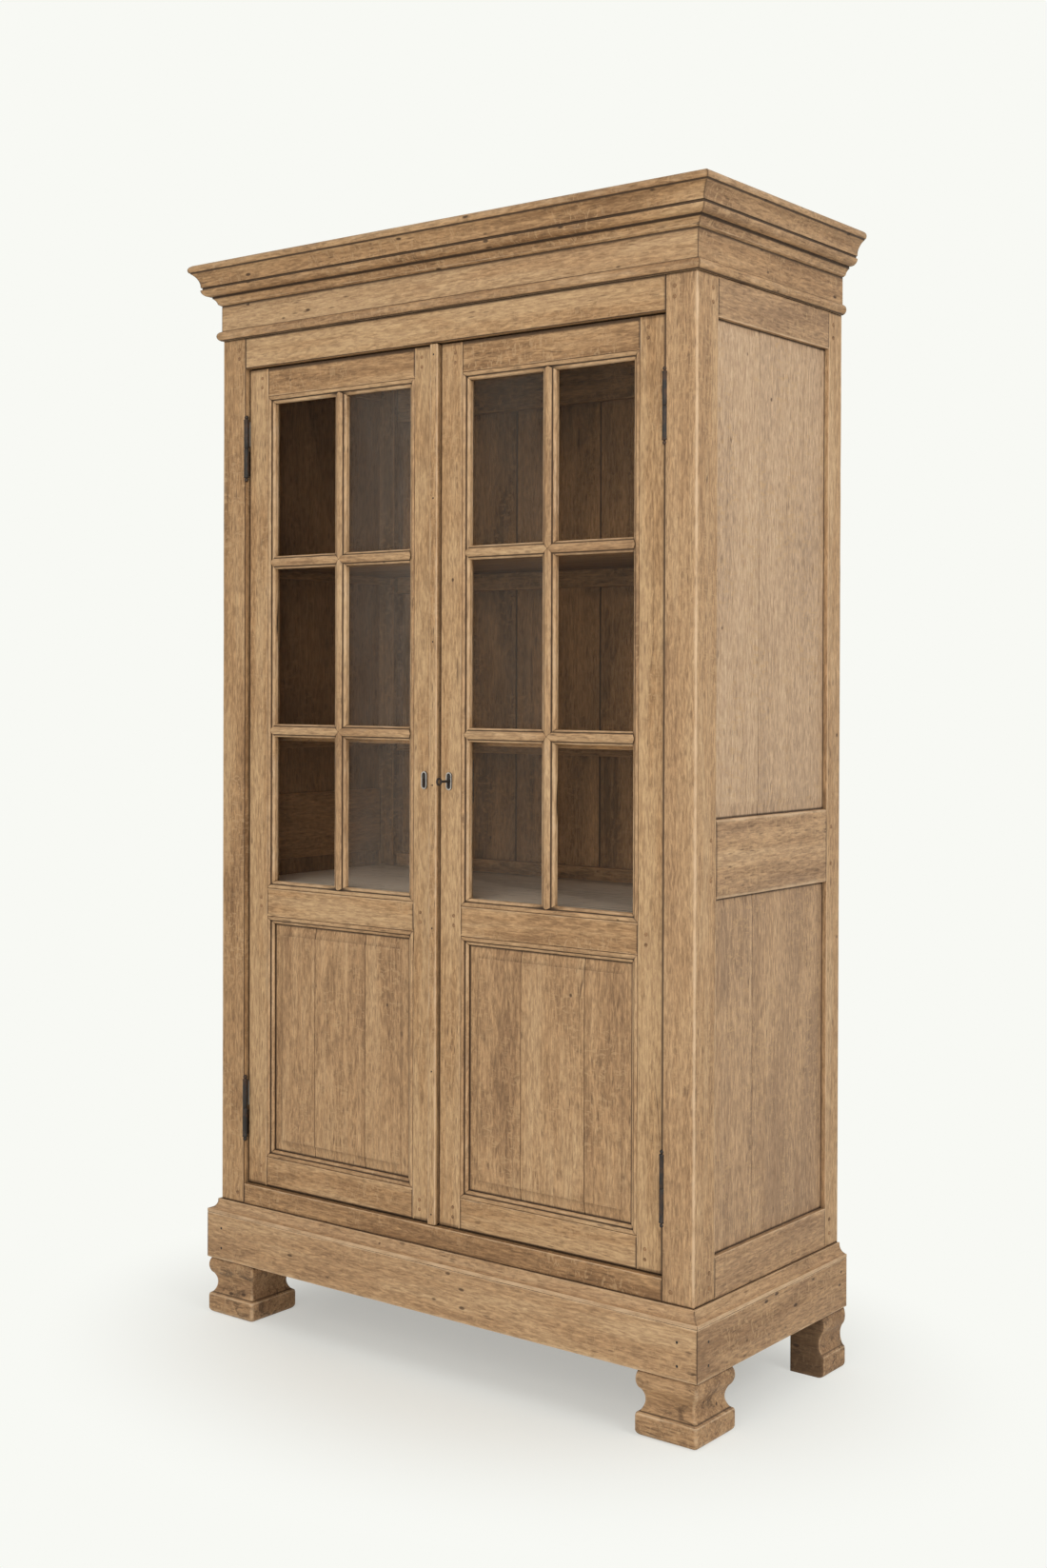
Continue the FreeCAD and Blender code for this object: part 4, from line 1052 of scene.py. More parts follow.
class CABINET_OT_rails(Operator):
    """Fit the rails between the posts"""
    bl_idname = "cabinet.rails"
    bl_label = "Rails"

    def execute(self, context):
        sizes = context.scene.cabinet_sizes
        oak = outside_oak(context)
        bare = inside_oak(context)
        # Shade painted along the rail's front edges, above the doors and under the half-round
        gap_shade_top = {0: 2.5 * MM, 3: 5 * MM}
        for node, tone, gap_shade in (("front_top_rail", 0.7, gap_shade_top), ("front_bottom_rail", 0.0, None)):
            low, high = corners_of(node)
            low.x, high.x = -front_post_inner, front_post_inner
            rail = Timber("oak_" + node, sizes, tone=tone)
            rail.plank(low, high, "X", gap_shade=gap_shade)
            rail.piece("carcass", node, "oak", oak, bare, (Y, Z, -Z))
        rounding = 5 * MM
        for side, name in ((-1, "left"), (1, "right")):
            rails = Timber("oak_" + name + "_side_rails", sizes, bleach=0.25, tone=0.15)
            x0, x1 = sorted((side * side_inner, side * half_width))
            outer_edges = (2, 3) if side > 0 else (0, 1)
            for level, (z0, z1) in side_levels.items():
                low = Vector((x0, front_post_back, z0))
                high = Vector((x1, back_post_front, z1))
                if level == "middle":
                    soft = {edge: rounding for edge in outer_edges}
                    rails.plank(low, high, "Y", soft=soft, ends=joint_wear, easing=0.5 * rounding)
                else:
                    rails.plank(low, high, "Y")
            rails.piece("carcass", name + "_side_rails", "oak", oak, bare, (X * -side,))
        return {"FINISHED"}


class CABINET_OT_side_panels(Operator):
    """Fit the shallow raised panels of both sides"""
    bl_idname = "cabinet.side_panels"
    bl_label = "Side panels"

    def execute(self, context):
        sizes = context.scene.cabinet_sizes
        oak = outside_oak(context)
        bare = inside_oak(context)
        upper_joint = front + 216 * MM
        lower_joint = front + 199 * MM
        # Each bay's low and high edge, the joint of its two boards, its tone and bleach
        bays = (
            (side_levels["middle"][1], side_levels["top"][0], upper_joint, 0.40, 0.75),
            (side_levels["bottom"][1], side_levels["middle"][0], lower_joint, -0.15, 0.4),
        )
        for side, name in ((-1, "left"), (1, "right")):
            panels = Timber("oak_" + name + "_side_panels", sizes)
            for low, high, joint, tone, bleach in bays:
                panels.tone_middle = tone
                panels.bleach = bleach
                opening = (front_post_back, back_post_front, low, high)
                y_edges = (front_post_back - panel_tongue, joint, back_post_front + panel_tongue)
                for y0, y1 in zip(y_edges, y_edges[1:]):
                    edges = (y0, y1, low - panel_tongue, high + panel_tongue)
                    panels.fielded(
                        X * (side * side_panel_face), Y, Z, X * side, edges, opening,
                        rise=2 * MM, margin=6 * MM, bevel=18 * MM, thickness=10 * MM, quirk=0.2,
                    )
            panels.piece("carcass", name + "_side_panels", "oak", oak, bare, (X * -side,))
        return {"FINISHED"}


class CABINET_OT_back(Operator):
    """Close the back with rails and upright boards"""
    bl_idname = "cabinet.back"
    bl_label = "Back"

    def execute(self, context):
        sizes = context.scene.cabinet_sizes
        bare = inside_oak(context)
        low, high = corners_of("back_rails")
        inner = back_post_low.x
        rails = Timber("oak_back_rails", sizes, tone=0.2)
        upper_shelf, middle_shelf, deck = (corners_of(node)[0].z for node in inside_boards[:3])
        # Each rail's level, and how far it reaches below and above in millimetres
        reaches = (
            (post_top, 117, 0), (upper_shelf, 36, 0), (middle_shelf, 30, 0), (deck, 46, 48), (base, 0, 60),
        )
        for level, below, above in reaches:
            z0 = level - below * MM
            z1 = level + above * MM
            rails.plank(Vector((-inner, low.y, z0)), Vector((inner, high.y, z1)), "X")
        rails.piece("carcass", "back_rails", "inner_oak", bare)
        low, high = corners_of("back_boards")
        boards = Timber("oak_back_boards", sizes, tone=0.15)
        board_width = 216 * MM
        middle_joint = 27 * MM
        joints = [middle_joint + board_width * step for step in range(-2, 3)]
        edges = [low.x, *joints, high.x]
        for left, right in zip(edges, edges[1:]):
            # Shade painted along the joints between the boards
            boards.plank(
                Vector((left, low.y, low.z)), Vector((right, high.y, high.z)), "Z",
                gap_shade={edge: 3 * MM for edge in range(4)},
            )
        boards.piece("carcass", "back_boards", "inner_oak", bare)
        return {"FINISHED"}


class CABINET_OT_shelves(Operator):
    """Lay the shelves, the deck and the floor on their bearers"""
    bl_idname = "cabinet.shelves"
    bl_label = "Shelves"

    def execute(self, context):
        sizes = context.scene.cabinet_sizes
        bare = inside_oak(context)
        limed = limed_oak(context)
        front_x = front_post_inner - fitting_gap
        back_x = back_post_low.x - fitting_gap
        front_y = front_post_back + fitting_gap
        back_y = back_post_front - fitting_gap
        for node in inside_boards:
            low, high = corners_of(node)
            half = [(high.x, min(back_y, high.y))]
            if low.y < front_y:
                half = [(front_x, low.y), (front_x, front_y), (high.x, front_y)] + half
            else:
                half = [(high.x, low.y)] + half
            if high.y > back_y:
                half += [(back_x, back_y), (back_x, high.y)]
            points = half + [(-x, y) for x, y in reversed(half)]
            board = Timber("oak_" + node, sizes, tone=0.55)
            board.slab(points, low.z, high.z, X)
            board.piece("carcass", node, "inner_oak", limed if node == "deck" else bare)
        bearers = Timber("oak_shelf_bearers", sizes, tone=0.4)
        low, high = corners_of("shelf_bearers")
        for node in inside_boards:
            top = corners_of(node)[0].z
            for x0, x1 in ((low.x, low.x + bearer_width), (high.x - bearer_width, high.x)):
                bearers.plank(Vector((x0, low.y, top - bearer_height)), Vector((x1, high.y, top)), "Y")
        bearers.piece("carcass", "shelf_bearers", "inner_oak", bare)
        return {"FINISHED"}


# Head
class CABINET_OT_head(Operator):
    """Put on the half-round, the frieze, the cornice and the dust board"""
    bl_idname = "cabinet.head"
    bl_label = "Head"

    def execute(self, context):
        sizes = context.scene.cabinet_sizes
        oak = outside_oak(context)
        low = post_top / MM
        torus = Timber("oak_torus_moulding", sizes, bleach=0.1, tone=0.5, pitting=0.9)
        face, behind = 2, -20
        profile = outline((face, low), [((10, low + 10), (face, low + 20))])
        # Shade painted along the half-round's lower and upper edges
        three_runs(torus, profile, {0: 6 * MM, len(profile) - 1: 4 * MM}, side_tone=0.35)
        torus.piece("carcass", "torus_moulding", "oak", oak)

        frieze = Timber("oak_frieze", sizes, bleach=0.1, tone=0.85, pitting=0.9)
        high = frieze_top / MM
        heights = (low, low + 19, low + 21, low + 25, high - 5, high - 1, high)
        profile = outline((behind, low), [*((face, height) for height in heights), (behind, high)])
        # Shade painted along the frieze's top edge, under the cornice
        three_runs(frieze, profile, {7: 6 * MM}, side_tone=-0.1)
        dust_low, dust_high = corners_of("dust_board")
        board_front = back - 16 * MM
        frieze.plank(
            Vector((dust_low.x, board_front, post_top)), Vector((dust_high.x, back, dust_low.z)), "X"
        )
        frieze.piece("carcass", "frieze", "oak", oak)

        profile = outline((behind, high), [
            (3, high), (8, high + 3), ((11, high + 10), (17, high + 15)), (15.5, high + 15.5),
            (15.5, high + 18), (20, high + 18), ((30, high + 23), (33, high + 31)), (30, high + 31.5),
            (30, high + 35), (32.5, high + 36), ((36, high + 51), (47, high + 63)), (47.5, high + 64.5),
            (49, high + 64.5), ((51.3, high + 70), (48.5, high + 77)), (44, high + 80), (behind, high + 80),
        ])
        # Shade painted into the cornice's hollows
        ring = eased_ring(profile, arris=0.8 * MM, hollow_shade=3 * MM)
        mitre_easing = 0.6 * MM
        cornice = Timber("oak_cornice_front", sizes, tone=0.2, pitting=0.9)
        mitred_front(cornice, ring, mitre_easing)
        cornice.piece("carcass", "cornice_front", "oak", oak)
        cornice = Timber("oak_cornice_sides", sizes, bleach=0.15, tone=0.1, pitting=0.9)
        mitred_sides(cornice, ring, mitre_easing)
        cornice.piece("carcass", "cornice_sides", "oak", oak)

        board = Timber("oak_dust_board", sizes, tone=0.5)
        board.plank(dust_low, dust_high, "X")
        board.piece("carcass", "dust_board", "inner_oak", inside_oak(context))
        return {"FINISHED"}


# Doors
def door_sides(name):
    """A door's uprights from left to right, as nodes."""
    if name == "left":
        return "left_hinge_stile", "left_meeting_stile"
    return "right_meeting_stile", "right_hinge_stile"


def door_opening(name):
    """The left and right edges of the free space between a door's uprights."""
    first, last = door_sides(name)
    return corners_of(first)[1].x, corners_of(last)[0].x


class CABINET_OT_door_frames(Operator):
    """Frame both doors, with the strip that covers their meeting"""
    bl_idname = "cabinet.door_frames"
    bl_label = "Door frames"

    def execute(self, context):
        sizes = context.scene.cabinet_sizes
        oak = outside_oak(context)
        bare = inside_oak(context)
        # Edges beside a gap, with the reach of the shade painted along them
        gap_shade_edges = {
            "left_hinge_stile": {0: 4 * MM}, "right_hinge_stile": {1: 8 * MM}, "left_meeting_stile": None,
            "right_meeting_stile": {0: 3 * MM}, "top_rail": {3: 8 * MM}, "lock_rail": None,
            "bottom_rail": {0: 4 * MM},
        }
        for name in ("left", "right"):
            body = name + "_door"
            for node in door_sides(name):
                stile = Timber("oak_" + node, sizes, tone=0.75)
                stile.plank(*corners_of(node), "Z", gap_shade=gap_shade_edges[node], reach=7 * MM)
                stile.piece(body, node, "oak", oak, bare, (Y, X, -X))
            left, right = door_opening(name)
            for level, tone in (("top_rail", 0.3), ("lock_rail", 0.6), ("bottom_rail", 0.5)):
                node = body + "_" + level
                low, high = corners_of(node)
                rail = Timber("oak_" + node, sizes, tone=tone)
                low.x, high.x = left, right
                rail.plank(low, high, "X", gap_shade=gap_shade_edges[level])
                rail.piece(body, node, "oak", oak, bare, (Y, Z, -Z))
        strip = Timber("oak_meeting_strip", sizes, tone=0.55)
        rounding = 2.5 * MM
        strip.plank(*corners_of("meeting_strip"), "Z", soft={0: rounding, 1: rounding}, ends=0.6)
        strip.piece("left_door", "meeting_strip", "oak", oak)
        return {"FINISHED"}


def door_levels(name):
    """Heights of a door's openings: panel low and high, glass low and high."""
    bottom = corners_of(name + "_door_bottom_rail")[1].z
    lock_low, lock_high = corners_of(name + "_door_lock_rail")
    top = corners_of(name + "_door_top_rail")[0].z
    return bottom, lock_low.z, lock_high.z, top


def mitred_frame(timber, edges, points):
    """Four mitred strips inside an opening. Points are (distance in from the edge, depth)."""
    x0, x1, z0, z1 = edges
    # Shade painted into the moulding's hollows
    ring = eased_ring(points, tight_edge, hollow_shade=tight_hollow_shade)
    for axes, origin, low, high in (
        ((X, Z, Y), Z * z0, x0, x1), ((X, -Z, Y), Z * z1, x0, x1),
        ((Z, X, Y), X * x0, z0, z1), ((Z, -X, Y), X * x1, z0, z1),
    ):
        timber.run(
            ring, axes, origin, lambda t, y: low + t, lambda t, y: high - t, ends=-0.7, easing=tight_edge,
        )


def moulding_outline(sizes, depth):
    """A rounded bead along the frame, a small step, then a fillet that falls towards the glass or panel."""
    y = front / MM
    bead = sizes.bead_width / MM
    width = sizes.moulding_width / MM
    return outline((0, y + depth), [
        (0, y + 11), ((bead / 2, y + 8.5), (bead, y + 11.5)), (bead, y + 13),
        ((width - 3.2, y + 13.4), (width, y + 17)), (width, y + depth),
    ])


def bar_outline(sizes, half):
    """A glazing bar: a half-round between two fillets, with its web behind."""
    y = front / MM
    bead = sizes.bead_width / MM
    half = half / MM
    return outline((-half, y + pane_depth), [
        (-half, y + 17), ((3.2 - half, y + 13.4), (-bead, y + 13)), (-bead, y + 11.5),
        ((0, y + 8.5), (bead, y + 11.5)), (bead, y + 13), ((half - 3.2, y + 13.4), (half, y + 17)),
        (half, y + pane_depth), (bar_web, y + pane_depth), (bar_web, y + retainer_back),
        (-bar_web, y + retainer_back), (-bar_web, y + pane_depth),
    ])


def bar_lengths(bars, ring, axes, origin, half, stops):
    """Lengths of a glazing bar between stops. At each, the end is cut to a point that reaches the stop.

    A stop is (place, reach): where the point lies, and how far the cut falls back at half the bar's width.
    """
    for (low, low_reach), (high, high_reach) in zip(stops, stops[1:]):
        bars.run(
            ring, axes, origin,
            lambda t, y: low + low_reach * abs(t) / half,
            lambda t, y: high - high_reach * abs(t) / half,
            ends=bar_wear, easing=tight_edge,
        )


class CABINET_OT_glazing(Operator):
    """Fit the mouldings, the glazing bars and the beads that hold the panes"""
    bl_idname = "cabinet.glazing"
    bl_label = "Mouldings and bars"

    def execute(self, context):
        sizes = context.scene.cabinet_sizes
        oak = outside_oak(context)
        near, far = front / MM + pane_back, front / MM + retainer_back
        retainer = outline((0, near), [(retainer_width, near), (retainer_width, far), (0, far)])
        for name in ("left", "right"):
            body = name + "_door"
            x0, x1 = door_opening(name)
            panel_low, panel_high, glass_low, glass_high = door_levels(name)
            glass_edges = (x0, x1, glass_low, glass_high)
            mouldings = Timber("oak_" + name + "_mouldings", sizes, bleach=0.1, tone=0.5)
            mitred_frame(mouldings, glass_edges, moulding_outline(sizes, pane_depth))
            mitred_frame(mouldings, (x0, x1, panel_low, panel_high), moulding_outline(sizes, panel_depth))
            mitred_frame(mouldings, glass_edges, retainer)
            mouldings.piece(body, body + "_mouldings", "oak", oak)

            bars = Timber("oak_" + name + "_glazing_bars", sizes, bleach=0.1, tone=0.55)
            middle = (x0 + x1) / 2
            upright = sizes.upright_bar / 2
            cross = sizes.cross_bar / 2
            width = sizes.moulding_width
            bead = sizes.bead_width
            # Shade painted into the bars' hollows
            cross_ring = eased_ring(bar_outline(sizes, cross), tight_edge, hollow_shade=tight_hollow_shade)
            upright_ring = eased_ring(bar_outline(sizes, upright), tight_edge, hollow_shade=tight_hollow_shade)
            fillet = width - bead
            stops = [(x0 + bead, fillet), (middle, upright), (x1 - bead, fillet)]
            for level in bar_levels:
                bar_lengths(bars, cross_ring, (X, Z, Y), Z * level, cross, stops)
            stops = [(glass_low + bead, fillet), *((level, cross) for level in bar_levels)]
            stops.append((glass_high - bead, fillet))
            bar_lengths(bars, upright_ring, (Z, X, Y), X * middle, upright, stops)
            bars.piece(body, body + "_glazing_bars", "oak", oak)
        return {"FINISHED"}


class CABINET_OT_panes(Operator):
    """Glaze both doors with old rippled panes"""
    bl_idname = "cabinet.panes"
    bl_label = "Panes"

    def execute(self, context):
        sizes = context.scene.cabinet_sizes
        glass = glass_finish(context)
        film_of_column = {"left": (0.002, 0.044), "right": (0.024, 0.010)}
        gap = fitting_gap
        web = bar_web * MM
        near = front + pane_depth * MM
        far = near + (pane_back - pane_depth) * MM
        for name in ("left", "right"):
            x0, x1 = door_opening(name)
            low, high = door_levels(name)[2:]
            middle = (x0 + x1) / 2
            columns = ((x0 + gap, middle - web - gap), (middle + web + gap, x1 - gap))
            rows = (
                (low + gap, bar_levels[0] - web - gap),
                (bar_levels[0] + web + gap, bar_levels[1] - web - gap),
                (bar_levels[1] + web + gap, high - gap),
            )
            points, faces, film = [], [], []
            for column, (left, right) in enumerate(columns):
                for bottom, top in rows:
                    self.add_pane(points, faces, sizes.ripple, (left, right, bottom, top), near, far)
                    for x, _, _ in points[len(film):]:
                        share = (x - left) / (right - left)
                        film.append(film_of_column[name][column] * (0.7 + 0.6 * share))
            mesh = bpy.data.meshes.new(name + "_panes")
            mesh.from_pydata(points, [], faces)
            mesh.shade_smooth()
            mesh.set_sharp_from_angle(angle=math.radians(40))
            mesh.attributes.new("film", "FLOAT", "POINT").data.foreach_set("value", film)
            place_piece(name + "_panes", mesh, name + "_door", name + "_door_glass", glass)
        return {"FINISHED"}

    def add_pane(self, points, faces, ripple, edges, near, far):
        """One pane: two rippled faces joined round the rim."""
        left, right, bottom, top = edges
        across, up = 9, 16
        first = len(points)
        for depth, inwards in ((near, 1), (far, -1)):
            for row in range(up + 1):
                for column in range(across + 1):
                    x = left + (right - left) * column / across
                    z = bottom + (top - bottom) * row / up
                    lift = ripple * (0.5 + 0.5 * noise.noise(Vector((x * 21, depth * 900, z * 13))))
                    points.append((x, depth + inwards * lift, z))
        width = across + 1
        sheet = width * (up + 1)
        for row in range(up):
            for column in range(across):
                a = first + row * width + column
                faces.append((a, a + 1, a + width + 1, a + width))
                b = a + sheet
                faces.append((b, b + width, b + width + 1, b + 1))
        rim = grid_rim(up + 1, width)
        for here, there in zip(rim, rim[1:] + rim[:1]):
            faces.append((first + there, first + here, first + here + sheet, first + there + sheet))


class CABINET_OT_door_panels(Operator):
    """Fit the raised panels of the doors, three boards each"""
    bl_idname = "cabinet.door_panels"
    bl_label = "Door panels"

    def execute(self, context):
        sizes = context.scene.cabinet_sizes
        oak = outside_oak(context)
        bare = inside_oak(context)
        joints = {"left": (-322 * MM, -190 * MM), "right": (187 * MM, 328 * MM)}
        for name in ("left", "right"):
            x0, x1 = door_opening(name)
            low, high = door_levels(name)[:2]
            x_edges = (x0 - panel_tongue, *joints[name], x1 + panel_tongue)
            width = sizes.moulding_width
            opening = (x0 + width, x1 - width, low + width, high - width)
            panel = Timber("oak_" + name + "_door_panel", sizes, bleach=0.1, tone=0.4)
            for left, right in zip(x_edges, x_edges[1:]):
                edges = (left, right, low - panel_tongue, high + panel_tongue)
                panel.fielded(
                    Y * (front + panel_depth * MM), X, Z, -Y, edges, opening,
                    rise=4 * MM, margin=2 * MM, bevel=20 * MM, thickness=8 * MM,
                )
            panel.piece(name + "_door", name + "_door_panel", "oak", oak, bare, (Y,))
        return {"FINISHED"}


# Pegs, nails and ironwork
def add_peg(timber, place, into, radius, depth):
    """A hand-cut peg: an uneven many-sided pin with a slightly domed head."""
    across, aside = (Y, Z) if abs(into.x) > 0.5 else (Z, X)
    timber.new_board(into)
    sides = 14
    # Share of the radius, depth in millimetres and wear, from the head inwards
    turning = ((0.55, -0.8, 0.1), (0.86, -0.6, 0.3), (0.99, -0.1, -0.6), (1, 0.8, -0.6), (1, depth / MM, 0))
    shape = [radius * timber.chance.uniform(0.9, 0.995) for _ in range(sides)]
    rings = []
    for share, level, wear_and_shade in turning:
        row = []
        for index in range(sides):
            angle = math.tau * index / sides
            reach = shape[index] * share
            point = place + into * (level * MM)
            point += across * (reach * math.cos(angle)) + aside * (reach * math.sin(angle))
            row.append((point, wear_and_shade))
        rings.append(row)
    timber.loft(rings)


class CABINET_OT_pegs(Operator):
    """Drive the pegs through the frame joints"""
    bl_idname = "cabinet.pegs"
    bl_label = "Pegs"

    def execute(self, context):
        sizes = context.scene.cabinet_sizes
        oak = peg_oak(context)
        pegs = Timber("oak_carcass_pegs", sizes)
        radius, depth = 4 * MM, 24 * MM
        pair = 9 * MM
        top = post_top - 30.5 * MM
        front_x = front_post_inner + 18 * MM
        for x in (-front_x, front_x):
            for z in (top - pair, top + pair, base + 20 * MM):
                add_peg(pegs, Vector((x, front, z)), Y, radius, depth)
        spread = {"top": 12 * MM, "middle": 34 * MM, "bottom": 13 * MM}
        for level, (low, high) in side_levels.items():
            for y in (front_post_back - 17 * MM, back_post_front + 16 * MM):
                for offset in (-spread[level], spread[level]):
                    for side in (-1, 1):
                        place = Vector((side * half_width, y, (low + high) / 2 + offset))
                        add_peg(pegs, place, X * -side, radius, depth)
        pegs.piece("carcass", "carcass_pegs", "pegs", oak)
        radius, depth = 3.5 * MM, 21 * MM
        inset = 17 * MM
        for name in ("left", "right"):
            body = name + "_door"
            pegs = Timber("oak_" + name + "_door_pegs", sizes)
            left, right = door_opening(name)
            for level in ("top_rail", "lock_rail", "bottom_rail"):
                low, high = corners_of(body + "_" + level)
                for x in (left - inset, right + inset):
                    for offset in (-pair, pair):
                        place = Vector((x, door_front, (low.z + high.z) / 2 + offset))
                        add_peg(pegs, place, Y, radius, depth)
            pegs.piece(body, body + "_pegs", "pegs", oak)
        return {"FINISHED"}


def round_rings(place, outward, steps, sides):
    """Rings round a line through a place. Steps are (radius, distance along the line)."""
    across = outward.orthogonal().normalized()
    aside = outward.cross(across)
    rings = []
    for radius, level in steps:
        ring = []
        for index in range(sides):
            angle = math.tau * index / sides
            spoke = across * math.cos(angle) + aside * math.sin(angle)
            ring.append(place + outward * level + spoke * radius)
        rings.append(ring)
    return rings


def nail_head(place, outward, radius):
    """A low domed head. Its steps are shares of the radius and heights in millimetres."""
    steps = ((1, -1.2), (1, 0.05), (0.8, 0.4), (0.4, 0.55))
    return round_rings(place, outward, [(radius * share, level * MM) for share, level in steps], sides=12)


def iron_piece(name, forms, body, node, material):
    """One piece of closed forms, each a list of rings that are joined in order and capped."""
    points, faces = [], []
    for rings in forms:
        faces.extend(skin(len(points), len(rings), len(rings[0])))
        for ring in rings:
            points.extend(ring)
    mesh = closed_mesh(name, points, faces, sharp_degrees=48)
    place_piece(name, mesh, body, node, material)


class CABINET_OT_nails(Operator):
    """Drive the nails of the plinth and the meeting strip"""
    bl_idname = "cabinet.nails"
    bl_label = "Nails"

    def execute(self, context):
        sizes = context.scene.cabinet_sizes
        iron = iron_finish(context)
        side = half_width + plinth_reach
        plinth_middle = (foot_height + plinth_top) / 2
        heads = []
        for sign in (-1, 1):
            for z in (plinth_middle - 22 * MM, plinth_middle + 18 * MM):
                heads.append(nail_head(Vector((sign * side, front + 16 * MM, z)), X * sign, sizes.nail_head))
                place = Vector((sign * (side - 40 * MM), front - plinth_reach, z))
                heads.append(nail_head(place, -Y, sizes.nail_head))
        iron_piece("plinth_nails", heads, "carcass", None, iron)
        low, high = corners_of("meeting_strip")
        heads = []
        middle_x = (low.x + high.x) / 2
        end_share = 0.012
        count = 7
        for index in range(count):
            share = end_share + (1 - 2 * end_share) * index / (count - 1)
            z = low.z + (high.z - low.z) * share
            heads.append(nail_head(Vector((middle_x, low.y, z)), -Y, 0.7 * sizes.nail_head))
        iron_piece("strip_nails", heads, "left_door", None, iron)
        return {"FINISHED"}


# Half a hinge in millimetres: (radius, distance from the middle) up the barrel, the collar and the finial
hinge_turning = (
    (4.5, 0.2), (5.1, 0.8), (5.1, 12), (5.1, 28), (5.1, 44), (5.1, 55.2), (5.5, 55.8), (5.5, 57.6),
    (4.7, 58.4), (2.8, 59), (2.8, 59.8), (4.0, 61), (4.4, 62.6), (4.0, 64.4), (2.8, 65.8), (1.0, 66.4),
)
# Its leaf: the depth, the low and high edge, and the screws as (depth, height)
leaf_depth = 34
leaf_low = 5
leaf_high = 54
leaf_screws = ((15, 13), (26, 29.5), (15, 46))
door_leaf_start = 7


class CABINET_OT_hinges(Operator):
    """Turn the hinge barrels with their finials, and screw on their leaves"""
    bl_idname = "cabinet.hinges"
    bl_label = "Hinges"

    def execute(self, context):
        iron = iron_finish(context, "hinge_iron", rust_share=0.8)
        post_halves = []
        for side, name in ((-1, "left"), (1, "right")):
            stile_low, stile_high = corners_of(name + "_hinge_stile")
            door_edge = stile_low.x if side < 0 else stile_high.x
            post_edge = side * front_post_inner
            door_halves = []
            for height in hinge_heights:
                middle = Vector((side * hinge_axis_x, hinge_axis_y, height))
                post_halves += self.half(middle, -Z, post_edge, X * -side, 0)
                door_halves += self.half(middle, Z, door_edge, X * side, door_leaf_start)
            body = name + "_door"
            iron_piece(name + "_turned_hinges", door_halves, body, body + "_hinge_halves", iron)
        iron_piece("post_turned_hinges", post_halves, "carcass", "post_hinge_halves", iron)
        return {"FINISHED"}

    def half(self, middle, way, edge, outward, start):
        """A barrel from the middle to its finial, the leaf let into an edge, and the leaf's screws."""
        turning = [(radius * MM, level * MM) for radius, level in hinge_turning]
        forms = [round_rings(middle, way, turning, sides=20)]
        face = Vector((edge, middle.y, middle.z)) + outward * (0.3 * MM)

        def on_leaf(y, level, depth=0):
            return face + Y * (y * MM) + way * (level * MM) - outward * (depth * MM)

        leaf = []
        for inset, depth in ((0, 2), (0, 0.2), (0.4, 0), (2.5, 0)):
            near, far = start + inset, leaf_depth - inset
            low, high = leaf_low + inset, leaf_high - inset
            corners = ((near, low), (far, low), (far, high), (near, high))
            leaf.append([on_leaf(y, level, depth) for y, level in corners])
        forms.append(leaf)
        for y, level in leaf_screws:
            forms.append(nail_head(on_leaf(y, level), outward, 2.6 * MM))
        return forms


class CABINET_OT_ironwork(Operator):
    """Finish the keyhole plates, the lock and the key, and put a dark box behind each keyhole as its painted
    shadow
    """
    bl_idname = "cabinet.ironwork"
    bl_label = "Ironwork"

    def execute(self, context):
        iron = iron_finish(context)
        # Plain dark iron for the painted shadow inside the keyholes
        dark = iron_finish(context, "keyhole_shade_iron", rub_share=0.0)
        rimmed = iron_finish(context, "rimmed_iron", proud=door_front - 2.4 * MM)
        # A dark box behind each keyhole plate stands in for the shadow inside the keyhole
        for name in ("left", "right"):
            low, high = corners_of(name + "_escutcheon")
            middle = (low + high) / 2
            keyhole = Vector((middle.x, door_front, middle.z))
            below = Vector((3.4 * MM, 0.6 * MM, 11.2 * MM))
            above = Vector((3.4 * MM, 0.4 * MM, 3.4 * MM))
            near, far = keyhole - below, keyhole + above
            rings = []
            for y in (near.y, far.y):
                rings.append([(near.x, y, near.z), (far.x, y, near.z), (far.x, y, far.z), (near.x, y, far.z)])
            iron_piece(name + "_keyhole_shadow_box", [rings], name + "_door", None, dark)
        for node in ("left_escutcheon", "right_escutcheon", "lock_case", "lock_bolt", "keeper", "key"):
            for slot in frame["nodes"][node].material_slots:
                slot.material = rimmed if node.endswith("escutcheon") else iron
        return {"FINISHED"}


def ray_fan(count):
    """Directions over a half ball, more of them near its top."""
    golden = math.pi * (3 - math.sqrt(5))
    fan = []
    for index in range(count):
        height = math.sqrt(1 - (index + 0.5) / count)
        flat = math.sqrt(1 - height * height)
        fan.append((flat * math.cos(golden * index), flat * math.sin(golden * index), height))
    return fan


